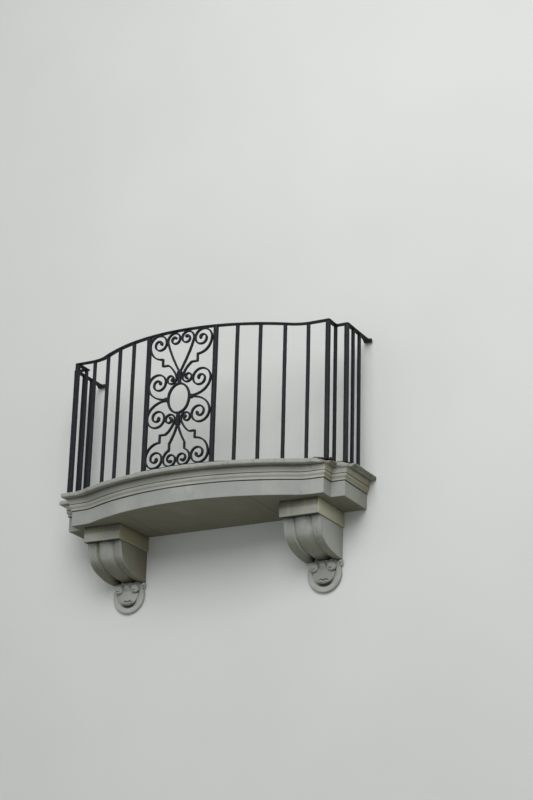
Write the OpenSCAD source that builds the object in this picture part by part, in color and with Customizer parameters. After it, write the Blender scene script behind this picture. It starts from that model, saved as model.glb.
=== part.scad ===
// Wrought iron balcony: a bowed slab with moulded edges on two rolled brackets,
// with a railing of square bars round a panel of forged scrolls.
// X runs along the wall, the balcony projects towards -Y, and the wall is the plane Y = 0.
// The origin is the middle of the wall face of the fascia course.

/* [Slab] */
// Half width of the fascia at the wall
wing_half = 1090; // [1040:5:1200]
// Step between each side wing and the end of the stepped-out front
front_step = 100; // [80:5:140]
// Depth of the fascia's side wings from the wall
wing_depth = 345; // [310:5:400]
// Depth of the flat ends of the front from the wall
front_depth = 460; // [430:5:500]
// Depth of the fascia at the middle of its bow
bow_depth = 665; // [620:5:690]
// Length of the flat ends of the fascia's front
flat_end = 74; // [50:2:120]
// Radius of the hollow curve between the bow and the flat ends
sweep_radius = 300; // [200:10:340]
// Height of the plain fascia course
face_h = 106; // [80:2:150]
// Height of the lower moulded band
band_h = 49; // [35:1:70]
// Height of the hollow moulding under the top slab
cove_h = 39; // [18:1:48]
// Thickness of the top slab
top_t = 35; // [25:1:50]
// Overhang of the top slab beyond the fascia
top_over = 58; // [45:1:75]
// Depth of the top slab at the middle of its bow, less its overhang
top_bow_depth = 690; // [670:5:720]
// Depth of the top slab's flat ends from the wall, less its overhang
top_front_depth = 478; // [465:1:490]
// Length of the flat ends of the top slab's front
top_flat = 40; // [30:5:80]
// Depth of the top slab's side wings from the wall, less its overhang
top_wing_depth = 330; // [330:1:350]
// Extra overhang of the top slab at its two ends
top_side = 11; // [0:1:16]
// Overhang of the lower band at its foot
band_foot = 8; // [4:1:12]
// Overhang of the lower band at its head
band_head = 17; // [14:1:20]
// Overhang of the hollow moulding at its head
cove_head = 32; // [26:1:40]

/* [Brackets] */
// Distance of each bracket's middle from the end of the wing
bracket_in = 315; // [290:5:380]
// Width of the abacus block that carries the slab
abacus_w = 295; // [270:1:320]
// Projection of the abacus from the wall
abacus_d = 395; // [370:5:420]
// Height of the abacus block
abacus_h = 110; // [80:2:140]
// Overhang of the abacus at each side of the bracket body
abacus_side = 10; // [6:1:20]
// Overhang of the abacus in front of the bracket body
abacus_front = 42; // [30:1:56]
// Straight height of the body's front below the abacus
body_straight = 72; // [50:2:110]
// Height of the curved foot of the body
body_curl = 148; // [120:2:180]
// Width of each flat band beside the roll
body_band = 50; // [40:1:60]
// Width of the groove beside the roll
groove_w = 6; // [4:1:12]
// Depth of the groove and of the roll's edges
groove_d = 24; // [14:1:34]
// Radius of the round pendant below each bracket
pendant_r = 129; // [115:1:138]
// Height of the pendant's top that the bracket's foot cuts off
pendant_lap = 36; // [20:1:40]
// Thickness of the pendant's back plate
pendant_t = 14; // [10:1:24]
// Radius of the pendant's rim bead
rim_r = 12; // [8:1:16]
// Radius of the pendant's domed boss
boss_r = 88; // [70:1:92]
// Rise of the domed boss from the back plate
boss_h = 22; // [14:1:30]
// Radius of the large side knobs
knob_r = 33; // [26:1:36]
// Radius of the small middle knob
mid_knob_r = 26; // [18:1:30]

/* [Railing] */
// Height of the handrail's top above the slab
rail_h = 1000; // [900:10:1100]
// Width of the handrail's flat bar
rail_w = 36; // [30:1:44]
// Thickness of the handrail's flat bar
rail_t = 10; // [6:1:14]
// Distance of the handrail's outer edge behind the top slab's edge
rail_inset = 33; // [26:1:42]
// Extra half width of the railing's front over the slab's front
rail_wide = 15; // [0:1:18]
// Length of the flat ends of the railing's front, less its extra half width
rail_flat = 100; // [70:5:140]
// Extra depth of the railing's bow over the slab's bow
rail_bow = 22; // [10:1:24]
// Width of the bottom rail's flat bar
foot_w = 32; // [28:1:40]
// Thickness of the bottom rail's flat bar
foot_t = 8; // [5:1:12]
// Side of the square corner, step and panel posts
post_w = 28; // [22:1:32]
// Side of the square balusters
bar_w = 21; // [14:1:25]
// Balusters between the panel and each end of the front
bow_bars = 4; // [3:1:5]
// Balusters on each side return
side_bars = 2; // [1:1:2]
// Pitch of the balusters on the side returns
side_pitch = 98; // [80:1:110]
// Length of the forged wall ends of the handrail
lug_len = 72; // [50:1:84]
// Width of the wall ends where they meet the wall
lug_w = 58; // [48:1:70]
// Thickness of the wall ends
lug_t = 16; // [12:1:22]

/* [Scroll panel] */
// Distance of each panel post's middle from the middle of the balcony
panel_half = 266; // [258:1:290]
// Distance of the flat panel's plane behind the handrail's middle line at the bow
panel_back = 9; // [6:1:14]
// Thickness of the scroll bars in the plane of the panel
strip_t = 11.5; // [8:0.5:12]
// Depth of the scroll bars across the panel
strip_d = 21; // [16:1:24]
// Half width of the oval ring's middle line
oval_a = 82.5; // [76:0.5:90]
// Half height of the oval ring's middle line
oval_b = 106.5; // [98:0.5:112]
// Outer radius of the big volutes
big_r = 76; // [68:1:80]
// Outer radius of the middle volutes
mid_r = 80; // [70:1:82]
// Outer radius of the small volutes beside the collars
small_r = 43; // [38:1:44]
// Outer radius of the heart volutes
heart_r = 57; // [50:1:60]
// Radius at which every volute ends
eye_r = 8; // [7:0.5:10]
// Depth of the collars that bind the scrolls
collar_d = 28; // [26:1:34]

/* [Hidden] */

STONE = [0.62, 0.64, 0.60];
MARBLE = [0.70, 0.71, 0.68];
IRON = [0.13, 0.14, 0.16];
LEFT = -1;
RIGHT = 1;
SEAT = 0.3;
BOW_STEPS = 14;
SWEEP_STEPS = 4;
OVOLO_STEPS = 3;
COVE_STEPS = 4;
NOSE_STEPS = 6;
CURL_STEPS = 8;
ROLL_STEPS = 5;
VOLUTE_STEPS = 22;
LONG_STEPS = 10;
FREE_STEPS = 8;
SHORT_STEPS = 5;
OVAL_STEPS = 48;

z_face = face_h / 2;
z_band = z_face + band_h;
z_cove = z_band + cove_h;
z_slab = z_cove + top_t;
z_rail = z_slab + rail_h;
z_rail_under = z_rail - rail_t;
z_foot = z_slab + foot_t;
front_half = wing_half - front_step;
bracket_x = wing_half - bracket_in;
rail_out = top_over - rail_inset;
rail_mid = rail_out - rail_w / 2;
z_abacus = -z_face - abacus_h;
body_w = abacus_w - 2 * abacus_side;
body_d = abacus_d - abacus_front;
z_curl = z_abacus - body_straight;
z_tip = z_curl - body_curl;
z_pendant = z_tip + pendant_lap - pendant_r;
z_panel = (z_foot + z_rail_under) / 2;
panel_h = (z_rail_under - z_foot) / 2;
panel_in = panel_half - post_w / 2;
ovolo_foot = 0.12;
ovolo_rise = 0.55;
nose_round = 0.6;
hook_r = lug_t * 0.8;
knob_x = knob_r + mid_knob_r * 1.2;
knob_z = pendant_r * 0.34;
mid_knob_z = pendant_r * 0.4;

// Plan shape of a course: half width of its front, half width of its bow, depth of its bow,
// depth of its flat ends, half width over its wings, depth of its wings
FASCIA = [front_half, front_half - flat_end, bow_depth, front_depth, wing_half, wing_depth];
top_half = wing_half + top_side;
rail_half = front_half + rail_wide;
rail_depth = top_bow_depth + rail_bow;
TOP = [front_half, front_half - top_flat, top_bow_depth, top_front_depth, top_half, top_wing_depth];
RAILS = [rail_half, front_half - rail_flat, rail_depth, front_depth, wing_half, wing_depth];

// Radius of a course's bow, which meets the hollow curves tangentially, and the angle where it does
function rise(c) = c[2] - c[3];
function bow_r(c) = (c[1] * c[1] + rise(c) * rise(c)) / (2 * rise(c)) - sweep_radius;
function bow_a(c) = atan(c[1] / (bow_r(c) + sweep_radius - rise(c)));

// Plan outline of a course with the overhang e
function half_outline(e, c) = let (r = bow_r(c), as = bow_a(c), vs = c[3] + sweep_radius)
    concat(
        [[c[4] + e, 0], [c[4] + e, -c[5] - e]],
        [[c[0] + e, -c[5] - e], [c[0] + e, -c[3] - e]],
        [for (i = [0 : SWEEP_STEPS]) let (a = as * i / SWEEP_STEPS)
            [c[1] - (sweep_radius - e) * sin(a), -vs + (sweep_radius - e) * cos(a)]],
        [for (i = [1 : BOW_STEPS]) let (a = as * (1 - i / BOW_STEPS))
            [(r + e) * sin(a), -(c[2] - r) - (r + e) * cos(a)]]);
function mirrored(half) = [for (i = [len(half) - 2 : -1 : 0]) [-half[i][0], half[i][1]]];
function outline(e, c) = let (half = half_outline(e, c)) concat(half, mirrored(half));

// Depth of the railing's middle line at a distance x from the middle
function rail_v(x) = let (xs = RAILS[1], r = bow_r(RAILS) + rail_mid, s = sweep_radius - rail_mid)
    abs(x) > xs ? front_depth + rail_mid
    : abs(x) > r * sin(bow_a(RAILS)) ? front_depth + sweep_radius - sqrt(s * s - pow(xs - abs(x), 2))
    : RAILS[2] - bow_r(RAILS) + sqrt(r * r - x * x);
panel_v = rail_v(0) - panel_back;

// Solid between matching closed sections, each a list of 3-D points
module loft(sections) {
    n = len(sections[0]);
    m = len(sections);
    points = [for (s = sections) for (p = s) p];
    sides = [for (j = [0 : m - 2]) for (i = [0 : n - 1])
        [j * n + i, j * n + (i + 1) % n, (j + 1) * n + (i + 1) % n, (j + 1) * n + i]];
    first = [for (i = [n - 1 : -1 : 0]) i];
    last = [for (i = [0 : n - 1]) (m - 1) * n + i];
    polyhedron(points = points, faces = concat([first], sides, [last]), convexity = 8);
}
function level(pts, z) = [for (p = pts) [p[0], p[1], z]];

// Slab courses
module fascia_course() {
    color(STONE)
    translate([0, 0, -z_face])
    linear_extrude(height = face_h)
    polygon(outline(0, FASCIA));
}

module lower_band() {
    ovolo = band_head - band_foot;
    color(STONE)
    loft(concat(
        [level(outline(band_foot, FASCIA), z_face)],
        [for (i = [0 : OVOLO_STEPS]) let (a = 90 * i / OVOLO_STEPS)
            level(outline(band_foot + ovolo * sin(a), FASCIA),
                z_face + band_h * (ovolo_foot + ovolo_rise * (1 - cos(a))))],
        [level(outline(band_head, FASCIA), z_band)]));
}

module cove_moulding() {
    rise = cove_head - band_head;
    color(STONE)
    loft([for (i = [0 : COVE_STEPS]) let (a = 90 * i / COVE_STEPS)
        level(outline(band_head + rise * (1 - cos(a)), FASCIA), z_band + cove_h * sin(a))]);
}

module top_slab() {
    nose = top_t / 2;
    color(MARBLE)
    loft([for (i = [0 : NOSE_STEPS]) let (a = -90 + 180 * i / NOSE_STEPS)
        level(outline(top_over - nose * nose_round * (1 - cos(a)), TOP),
            z_cove + nose * (1 + sin(a)))]);
}

// Brackets
module abacus(side) {
    color(STONE)
    translate([side * bracket_x - abacus_w / 2, -abacus_d, z_abacus])
    cube([abacus_w, abacus_d, abacus_h]);
}

// Side profile of the bracket body, drawn in by t all along its front
function body_profile(x, t) = concat(
    [[x, 0, z_abacus], [x, -(body_d - t), z_abacus]],
    [for (i = [0 : CURL_STEPS]) let (a = 90 * i / CURL_STEPS)
        [x, -(body_d - t) * cos(a), z_curl - (body_curl - t) * sin(a)]]);
module bracket(side) {
    half = body_w / 2;
    roll = half - body_band - groove_w;
    crown = (roll * roll + groove_d * groove_d) / (2 * groove_d);
    turn = asin(roll / crown);
    color(STONE)
    translate([side * bracket_x, 0, 0])
    loft(concat(
        [body_profile(-half, 0), body_profile(-half + body_band, 0)],
        [for (i = [-ROLL_STEPS : ROLL_STEPS]) let (a = turn * i / ROLL_STEPS)
            body_profile(crown * sin(a), crown * (1 - cos(a)))],
        [body_profile(half - body_band, 0), body_profile(half, 0)]));
}

module pendant(side) {
    color(STONE)
    translate([side * bracket_x, 0, z_pendant])
    rotate([90, 0, 0])
    difference() {
        roundel();
        translate([-pendant_r, pendant_r - pendant_lap, -1])
        cube([2 * pendant_r, pendant_r, pendant_t + pendant_r]);
    }
}
module roundel() {
    union() {
        cylinder(h = pendant_t, r = pendant_r, $fn = 48);
        translate([0, 0, pendant_t])
        rotate_extrude($fn = 48)
        intersection() {
            translate([pendant_r - rim_r, 0])
            circle(r = rim_r, $fn = 24);
            square([pendant_r, rim_r]);
        }
        dome = (boss_r * boss_r + boss_h * boss_h) / (2 * boss_h);
        translate([0, 0, pendant_t])
        intersection() {
            translate([0, 0, boss_h - dome])
            sphere(r = dome, $fn = 72);
            cylinder(h = boss_h, r = boss_r, $fn = 48);
        }
        knob(-knob_x, knob_z, knob_r);
        knob(knob_x, knob_z, knob_r);
        knob(0, mid_knob_z, mid_knob_r);
    }
}
module knob(x, y, r) {
    translate([x, y, pendant_t]) {
        cylinder(h = boss_h, r = r, $fn = 32);
        translate([0, 0, boss_h])
        intersection() {
            sphere(r = r, $fn = 32);
            cylinder(h = r, r = r, $fn = 32);
        }
    }
}

// Rails
module rail_band(outer, width, cut) {
    difference() {
        polygon(outline(outer, RAILS));
        polygon(outline(outer - width, RAILS));
        translate([-2 * wing_half, -cut])
        square([4 * wing_half, 2 * cut + 1]);
    }
}
module handrail() {
    color(IRON)
    translate([0, 0, z_rail_under])
    linear_extrude(height = rail_t)
    rail_band(rail_out, rail_w, lug_len);
}
module bottom_rail() {
    color(IRON)
    translate([0, 0, z_slab])
    linear_extrude(height = foot_t)
    rail_band(rail_mid + foot_w / 2, foot_w, 0);
}
module wall_end(side) {
    color(IRON)
    translate([side * (wing_half + rail_mid), 0, 0]) {
        translate([0, 0, z_rail - lug_t])
        linear_extrude(height = lug_t)
        polygon([[-rail_w / 2, -lug_len], [rail_w / 2, -lug_len], [lug_w / 2, 0], [-lug_w / 2, 0]]);
        translate([-lug_w / 2, -hook_r, z_rail])
        rotate([0, 90, 0])
        cylinder(h = lug_w, r = hook_r, $fn = 24);
    }
}

// Upright bars stand on the bottom rail and meet the handrail
module upright(x, v, w) {
    translate([x - w / 2, -v - w / 2, z_foot])
    cube([w, w, z_rail_under - z_foot]);
}
module corner_post(side) {
    color(IRON)
    upright(side * (wing_half + rail_mid), wing_depth + rail_mid, post_w);
}
module step_post(side) {
    color(IRON)
    upright(side * (RAILS[0] + rail_mid), front_depth + rail_mid, post_w);
}
module inner_bar(side) {
    color(IRON)
    upright(side * (RAILS[0] + rail_mid), wing_depth + rail_mid, bar_w);
}
module panel_post(side) {
    color(IRON)
    upright(side * panel_half, rail_v(panel_half), post_w);
}
module bow_balusters(side) {
    gap = (RAILS[0] + rail_mid - panel_half) / (bow_bars + 1);
    color(IRON)
    for (i = [1 : bow_bars]) {
        x = panel_half + gap * i;
        upright(side * x, rail_v(x), bar_w);
    }
}
module side_balusters(side) {
    color(IRON)
    for (i = [1 : side_bars])
        upright(side * (wing_half + rail_mid), wing_depth + rail_mid - side_pitch * i, bar_w);
}

// Forged scrolls. Each is a flat strip on edge that follows a path in the panel's plane,
// drawn for the upper right quarter and mirrored to the others.
function volute(c, from, r, turns) = let (n = round(turns * VOLUTE_STEPS))
    [for (i = [0 : n]) let (t = i / n, a = from + 360 * turns * t, q = r + (eye_r - r) * t)
        [c[0] + q * cos(a), c[1] + q * sin(a)]];
function curve(p, q, r, s, n) = [for (i = [0 : n]) let (t = i / n, u = 1 - t)
    u * u * u * p + 3 * u * u * t * q + 3 * u * t * t * r + t * t * t * s];
function backwards(path) = [for (i = [len(path) - 1 : -1 : 0]) path[i]];
function tail(path) = [for (i = [1 : len(path) - 1]) path[i]];
function unit(v) = v / norm(v);
function heading(path, i) = i == 0 ? unit(path[1] - path[0])
    : i == len(path) - 1 ? unit(path[i] - path[i - 1])
    : unit(unit(path[i] - path[i - 1]) + unit(path[i + 1] - path[i]));
function lean(path, i) = i == 0 || i == len(path) - 1 ? 1
    : 1 / max(0.6, heading(path, i) * unit(path[i + 1] - path[i]));
function edge(path, w) = [for (i = [0 : len(path) - 1]) let (h = heading(path, i))
    path[i] + w * lean(path, i) * [-h[1], h[0]]];
function strip(path) = concat(edge(path, strip_t / 2), backwards(edge(path, -strip_t / 2)));

module in_panel(side, up, depth) {
    translate([0, -panel_v, z_panel])
    quarter(side, up)
    rotate([90, 0, 0])
    linear_extrude(height = depth, center = true)
    children();
}
module quarter(side, up) {
    mirror([side < 0 ? 1 : 0, 0, 0])
    mirror([0, 0, up < 0 ? 1 : 0])
    children();
}
module scroll(side, up, path) {
    color(IRON)
    in_panel(side, up, strip_d)
    polygon(strip(path));
}

reach = panel_in - strip_t / 2 - SEAT;
crest = panel_h - strip_t / 2 - SEAT;
beside = strip_t / 2 + SEAT / 2;
wrap_t = 5;
side_wrap_t = 3;
wrap_half = strip_t + SEAT * 1.5;
wrap_h = 48;
side_wrap = 18;
leg_in = wrap_h + 6;
big_turns = 1.6;
mid_turns = 1.6;
small_turns = 1.3;
heart_turns = 1.5;

// Where the volutes' middles lie
heart_from = -15;
big_c = [reach - big_r, crest - big_r - (eye_r - big_r) * 0.25 / big_turns];
heart_gap = big_r + (eye_r - big_r) / 2 / big_turns + strip_t + SEAT + heart_r * 0.975;
heart_lift = (eye_r - heart_r) * (90 - heart_from) / 360 / heart_turns;
heart_c = [big_c[0] - heart_gap, crest - heart_r - heart_lift];
collar_rise = 89.5;
small_rise = 42;
mid_rise = 17.5;
shelf_run = [72, 104];
shelf_step = [0, 52];
shelf_back = [42, 0];
jog_out = 12;
jog_step = [0, 48];
neck_rise = 2;
collar_top = oval_b + collar_rise;
collar_half = wrap_half + wrap_t;
small_c = [collar_half + strip_t / 2 + SEAT + small_r, oval_b + small_rise];
mid_c = [reach - mid_r, oval_b + mid_rise];

// Corners of the stepped legs, and how far each free curve's handles stand from its ends
shelf = small_c + shelf_run;
shelf_top = shelf + shelf_step;
shelf_foot = shelf - shelf_back;
jog = [heart_c[0] + jog_out, heart_c[1] - heart_r * 2];
jog_top = jog + jog_step;
neck = [beside, collar_top + neck_rise];
small_pull = [4, 40];
foot_pull = [-20, -4];
shelf_far = [62, 0];
big_pull = [0, -66];
heart_rise = [58, 106];
heart_pull = 45;
foot_rise = [8, 40];
jog_pull = [-22, -38];
jog_far = [24, 10];
jog_heart_pull = 24;
mid_pull = [60, 0];
mid_drop = [0, -78];

heart_volute = volute(heart_c, heart_from, heart_r, heart_turns);
heart_way = [-sin(heart_from), cos(heart_from)];
leg = [[beside, collar_top - leg_in]];
heart_path = concat(leg,
    curve(neck, neck + heart_rise, heart_volute[0] - heart_pull * heart_way, heart_volute[0], FREE_STEPS),
    tail(heart_volute));
foot_path = concat(leg,
    curve(neck, neck + foot_rise, jog + jog_pull, jog, SHORT_STEPS),
    curve(jog_top, jog_top + jog_far, heart_volute[0] - jog_heart_pull * heart_way, heart_volute[0], SHORT_STEPS),
    tail(heart_volute));
small_volute = volute(small_c, 180, small_r, small_turns);
big_volute = volute(big_c, 0, big_r, big_turns);
outer_path = concat(backwards(small_volute),
    tail(curve(small_volute[0], small_volute[0] + small_pull, shelf_foot + foot_pull, shelf_foot, FREE_STEPS)),
    [shelf],
    curve(shelf_top, shelf_top + shelf_far, big_volute[0] + big_pull, big_volute[0], FREE_STEPS),
    tail(big_volute));
mid_volute = volute(mid_c, 0, mid_r, mid_turns);
mid_root = [oval_a + strip_t / 2 + SEAT, beside];
mid_start = mid_root + [side_wrap + 2, 0];
mid_path = concat([mid_root],
    curve(mid_start, mid_start + mid_pull, mid_volute[0] + mid_drop, mid_volute[0], LONG_STEPS),
    tail(mid_volute));

module oval_ring() {
    color(IRON)
    in_panel(RIGHT, RIGHT, strip_d)
    difference() {
        polygon(oval(strip_t / 2));
        polygon(oval(-strip_t / 2));
    }
}
function oval(e) = [for (i = [0 : OVAL_STEPS - 1]) let (a = 360 * i / OVAL_STEPS)
    [(oval_a + e) * cos(a), (oval_b + e) * sin(a)]];

// The collars are forged wraps with the scroll bars inside them
module centre_collars() {
    color(IRON)
    for (up = [LEFT, RIGHT])
        difference() {
            in_panel(RIGHT, up, collar_d)
            translate([-collar_half, collar_top - wrap_h])
            square([2 * collar_half, wrap_h]);
            in_panel(RIGHT, up, strip_d + 2 * SEAT)
            translate([-wrap_half, collar_top - wrap_h - 1])
            square([2 * wrap_half, wrap_h + 2]);
        }
}
module side_collars() {
    color(IRON)
    for (side = [LEFT, RIGHT])
        difference() {
            in_panel(side, RIGHT, collar_d)
            translate([mid_root[0], -wrap_half - side_wrap_t])
            square([side_wrap, 2 * wrap_half + 2 * side_wrap_t]);
            in_panel(side, RIGHT, strip_d + 2 * SEAT)
            translate([mid_root[0] - 1, -wrap_half])
            square([side_wrap + 2, 2 * wrap_half]);
        }
}

fascia_course();
lower_band();
cove_moulding();
top_slab();
abacus(LEFT);  // abacus_left
abacus(RIGHT);  // abacus_right
bracket(LEFT);  // bracket_left
bracket(RIGHT);  // bracket_right
pendant(LEFT);  // pendant_left
pendant(RIGHT);  // pendant_right
handrail();
bottom_rail();
wall_end(LEFT);  // wall_end_left
wall_end(RIGHT);  // wall_end_right
corner_post(LEFT);  // corner_post_left
corner_post(RIGHT);  // corner_post_right
step_post(LEFT);  // step_post_left
step_post(RIGHT);  // step_post_right
inner_bar(LEFT);  // inner_bar_left
inner_bar(RIGHT);  // inner_bar_right
panel_post(LEFT);  // panel_post_left
panel_post(RIGHT);  // panel_post_right
bow_balusters(LEFT);  // bow_balusters_left
bow_balusters(RIGHT);  // bow_balusters_right
side_balusters(LEFT);  // side_balusters_left
side_balusters(RIGHT);  // side_balusters_right
oval_ring();
scroll(LEFT, RIGHT, heart_path);  // heart_scroll_left
scroll(RIGHT, RIGHT, heart_path);  // heart_scroll_right
scroll(LEFT, RIGHT, outer_path);  // upper_scroll_left
scroll(RIGHT, RIGHT, outer_path);  // upper_scroll_right
scroll(LEFT, RIGHT, mid_path);  // mid_upper_scroll_left
scroll(RIGHT, RIGHT, mid_path);  // mid_upper_scroll_right
scroll(LEFT, LEFT, mid_path);  // mid_lower_scroll_left
scroll(RIGHT, LEFT, mid_path);  // mid_lower_scroll_right
scroll(LEFT, LEFT, outer_path);  // lower_scroll_left
scroll(RIGHT, LEFT, outer_path);  // lower_scroll_right
scroll(LEFT, LEFT, foot_path);  // foot_scroll_left
scroll(RIGHT, LEFT, foot_path);  // foot_scroll_right
centre_collars();
side_collars();
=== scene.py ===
"""Looks of a wrought iron balcony: a bowed, moulded slab on two rolled brackets, and a railing of
square bars round a panel of forged scrolls.

Every length is in metres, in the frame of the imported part: X runs along the front, the balcony
projects towards -Y, and its flat back lies in the plane Y = 0.
"""

import logging
import math
from dataclasses import dataclass, field
from enum import Enum
from typing import Callable, Optional, Union

import bpy
import numpy as np
from mathutils import Matrix, Vector


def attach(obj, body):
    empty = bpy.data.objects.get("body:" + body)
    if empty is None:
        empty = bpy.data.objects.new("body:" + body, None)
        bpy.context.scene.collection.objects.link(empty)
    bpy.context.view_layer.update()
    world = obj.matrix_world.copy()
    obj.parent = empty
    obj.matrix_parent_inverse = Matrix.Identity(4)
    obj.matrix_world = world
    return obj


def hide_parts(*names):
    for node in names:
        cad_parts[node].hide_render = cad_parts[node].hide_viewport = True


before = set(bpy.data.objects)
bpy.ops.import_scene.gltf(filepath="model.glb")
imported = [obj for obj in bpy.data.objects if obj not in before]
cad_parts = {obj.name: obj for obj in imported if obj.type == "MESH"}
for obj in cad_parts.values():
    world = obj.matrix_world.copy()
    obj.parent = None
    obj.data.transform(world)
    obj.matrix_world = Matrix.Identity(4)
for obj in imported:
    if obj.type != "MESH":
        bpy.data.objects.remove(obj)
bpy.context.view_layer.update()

LOG = logging.getLogger("balcony")

BODY = "root"

Pair = tuple[float, float]
Triple = tuple[float, float, float]
Place = Union[np.ndarray, Pair]
Numbers = Union[float, np.ndarray]


class Side(Enum):
    """Which end of the balcony a piece stands at."""

    LEFT = -1
    RIGHT = 1

    @property
    def word(self) -> str:
        """The side's name as the part's nodes spell it."""
        return self.name.lower()


class Level(Enum):
    """Which half of the scroll panel a piece lies in."""

    LOWER = -1
    UPPER = 1


class Slot(Enum):
    """Material slots."""

    PAINTED_STONE = "painted_stone"
    SLAB_STONE = "slab_stone"
    RAIL_IRON = "rail_iron"
    BAR_IRON = "bar_iron"
    SCROLL_IRON = "scroll_iron"


# Shader tools


class Socket:
    """One output socket of a shader tree, with which sums can be written as Python expressions."""

    def __init__(self, graph: "Graph", socket: bpy.types.NodeSocket) -> None:
        """Keeps the output socket and the tree that it belongs to."""
        self.graph = graph
        self.socket = socket

    def _math(self, operation: str, first: "Operand", second: "Operand") -> "Socket":
        """The result of one Math node on two values."""
        return self.graph.node("ShaderNodeMath", {"operation": operation}, {0: first, 1: second})

    def __add__(self, other: "Operand") -> "Socket":
        """self + other."""
        return self._math("ADD", self, other)

    def __radd__(self, other: "Operand") -> "Socket":
        """other + self."""
        return self._math("ADD", other, self)

    def __sub__(self, other: "Operand") -> "Socket":
        """self - other."""
        return self._math("SUBTRACT", self, other)

    def __rsub__(self, other: "Operand") -> "Socket":
        """other - self."""
        return self._math("SUBTRACT", other, self)

    def __mul__(self, other: "Operand") -> "Socket":
        """self * other."""
        return self._math("MULTIPLY", self, other)

    def __rmul__(self, other: "Operand") -> "Socket":
        """other * self."""
        return self._math("MULTIPLY", other, self)

    def __abs__(self) -> "Socket":
        """abs(self)."""
        return self._math("ABSOLUTE", self, 0.0)

    def least(self, other: "Operand") -> "Socket":
        """The smaller of self and other."""
        return self._math("MINIMUM", self, other)

    def between(self, low: float, high: float, reach: float = 1.0) -> "Socket":
        """Rises smoothly from 0 to reach as self goes from low to high.

        Args:
            low: value at which the result is 0.
            high: value at which it is reach. It may be less than low.
            reach: the top value.

        Returns:
            The smooth share.
        """
        if high < low:
            return reach - self.between(high, low, reach)
        return self.graph.node(
            "ShaderNodeMapRange",
            {"interpolation_type": "SMOOTHSTEP"},
            {"Value": self, "From Min": low, "From Max": high, "To Min": 0.0, "To Max": reach},
        )

    def line(self, place: float, half: float) -> "Socket":
        """1 where self is at place, falling to 0 at a distance half from it."""
        return abs(self - place).between(half, 0.0)


Colour = Triple
Operand = Union[Socket, float]
Paint = Union[Socket, Colour]


def srgb(red: int, green: int, blue: int) -> Colour:
    """A colour as it shows on screen, in the linear values that a shader takes.

    Args:
        red: red, 0 to 255.
        green: green, 0 to 255.
        blue: blue, 0 to 255.

    Returns:
        The linear colour.
    """
    return tuple(
        c / 12.92 if c <= 0.04045 else ((c + 0.055) / 1.055) ** 2.4
        for c in (red / 255, green / 255, blue / 255)
    )


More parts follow.
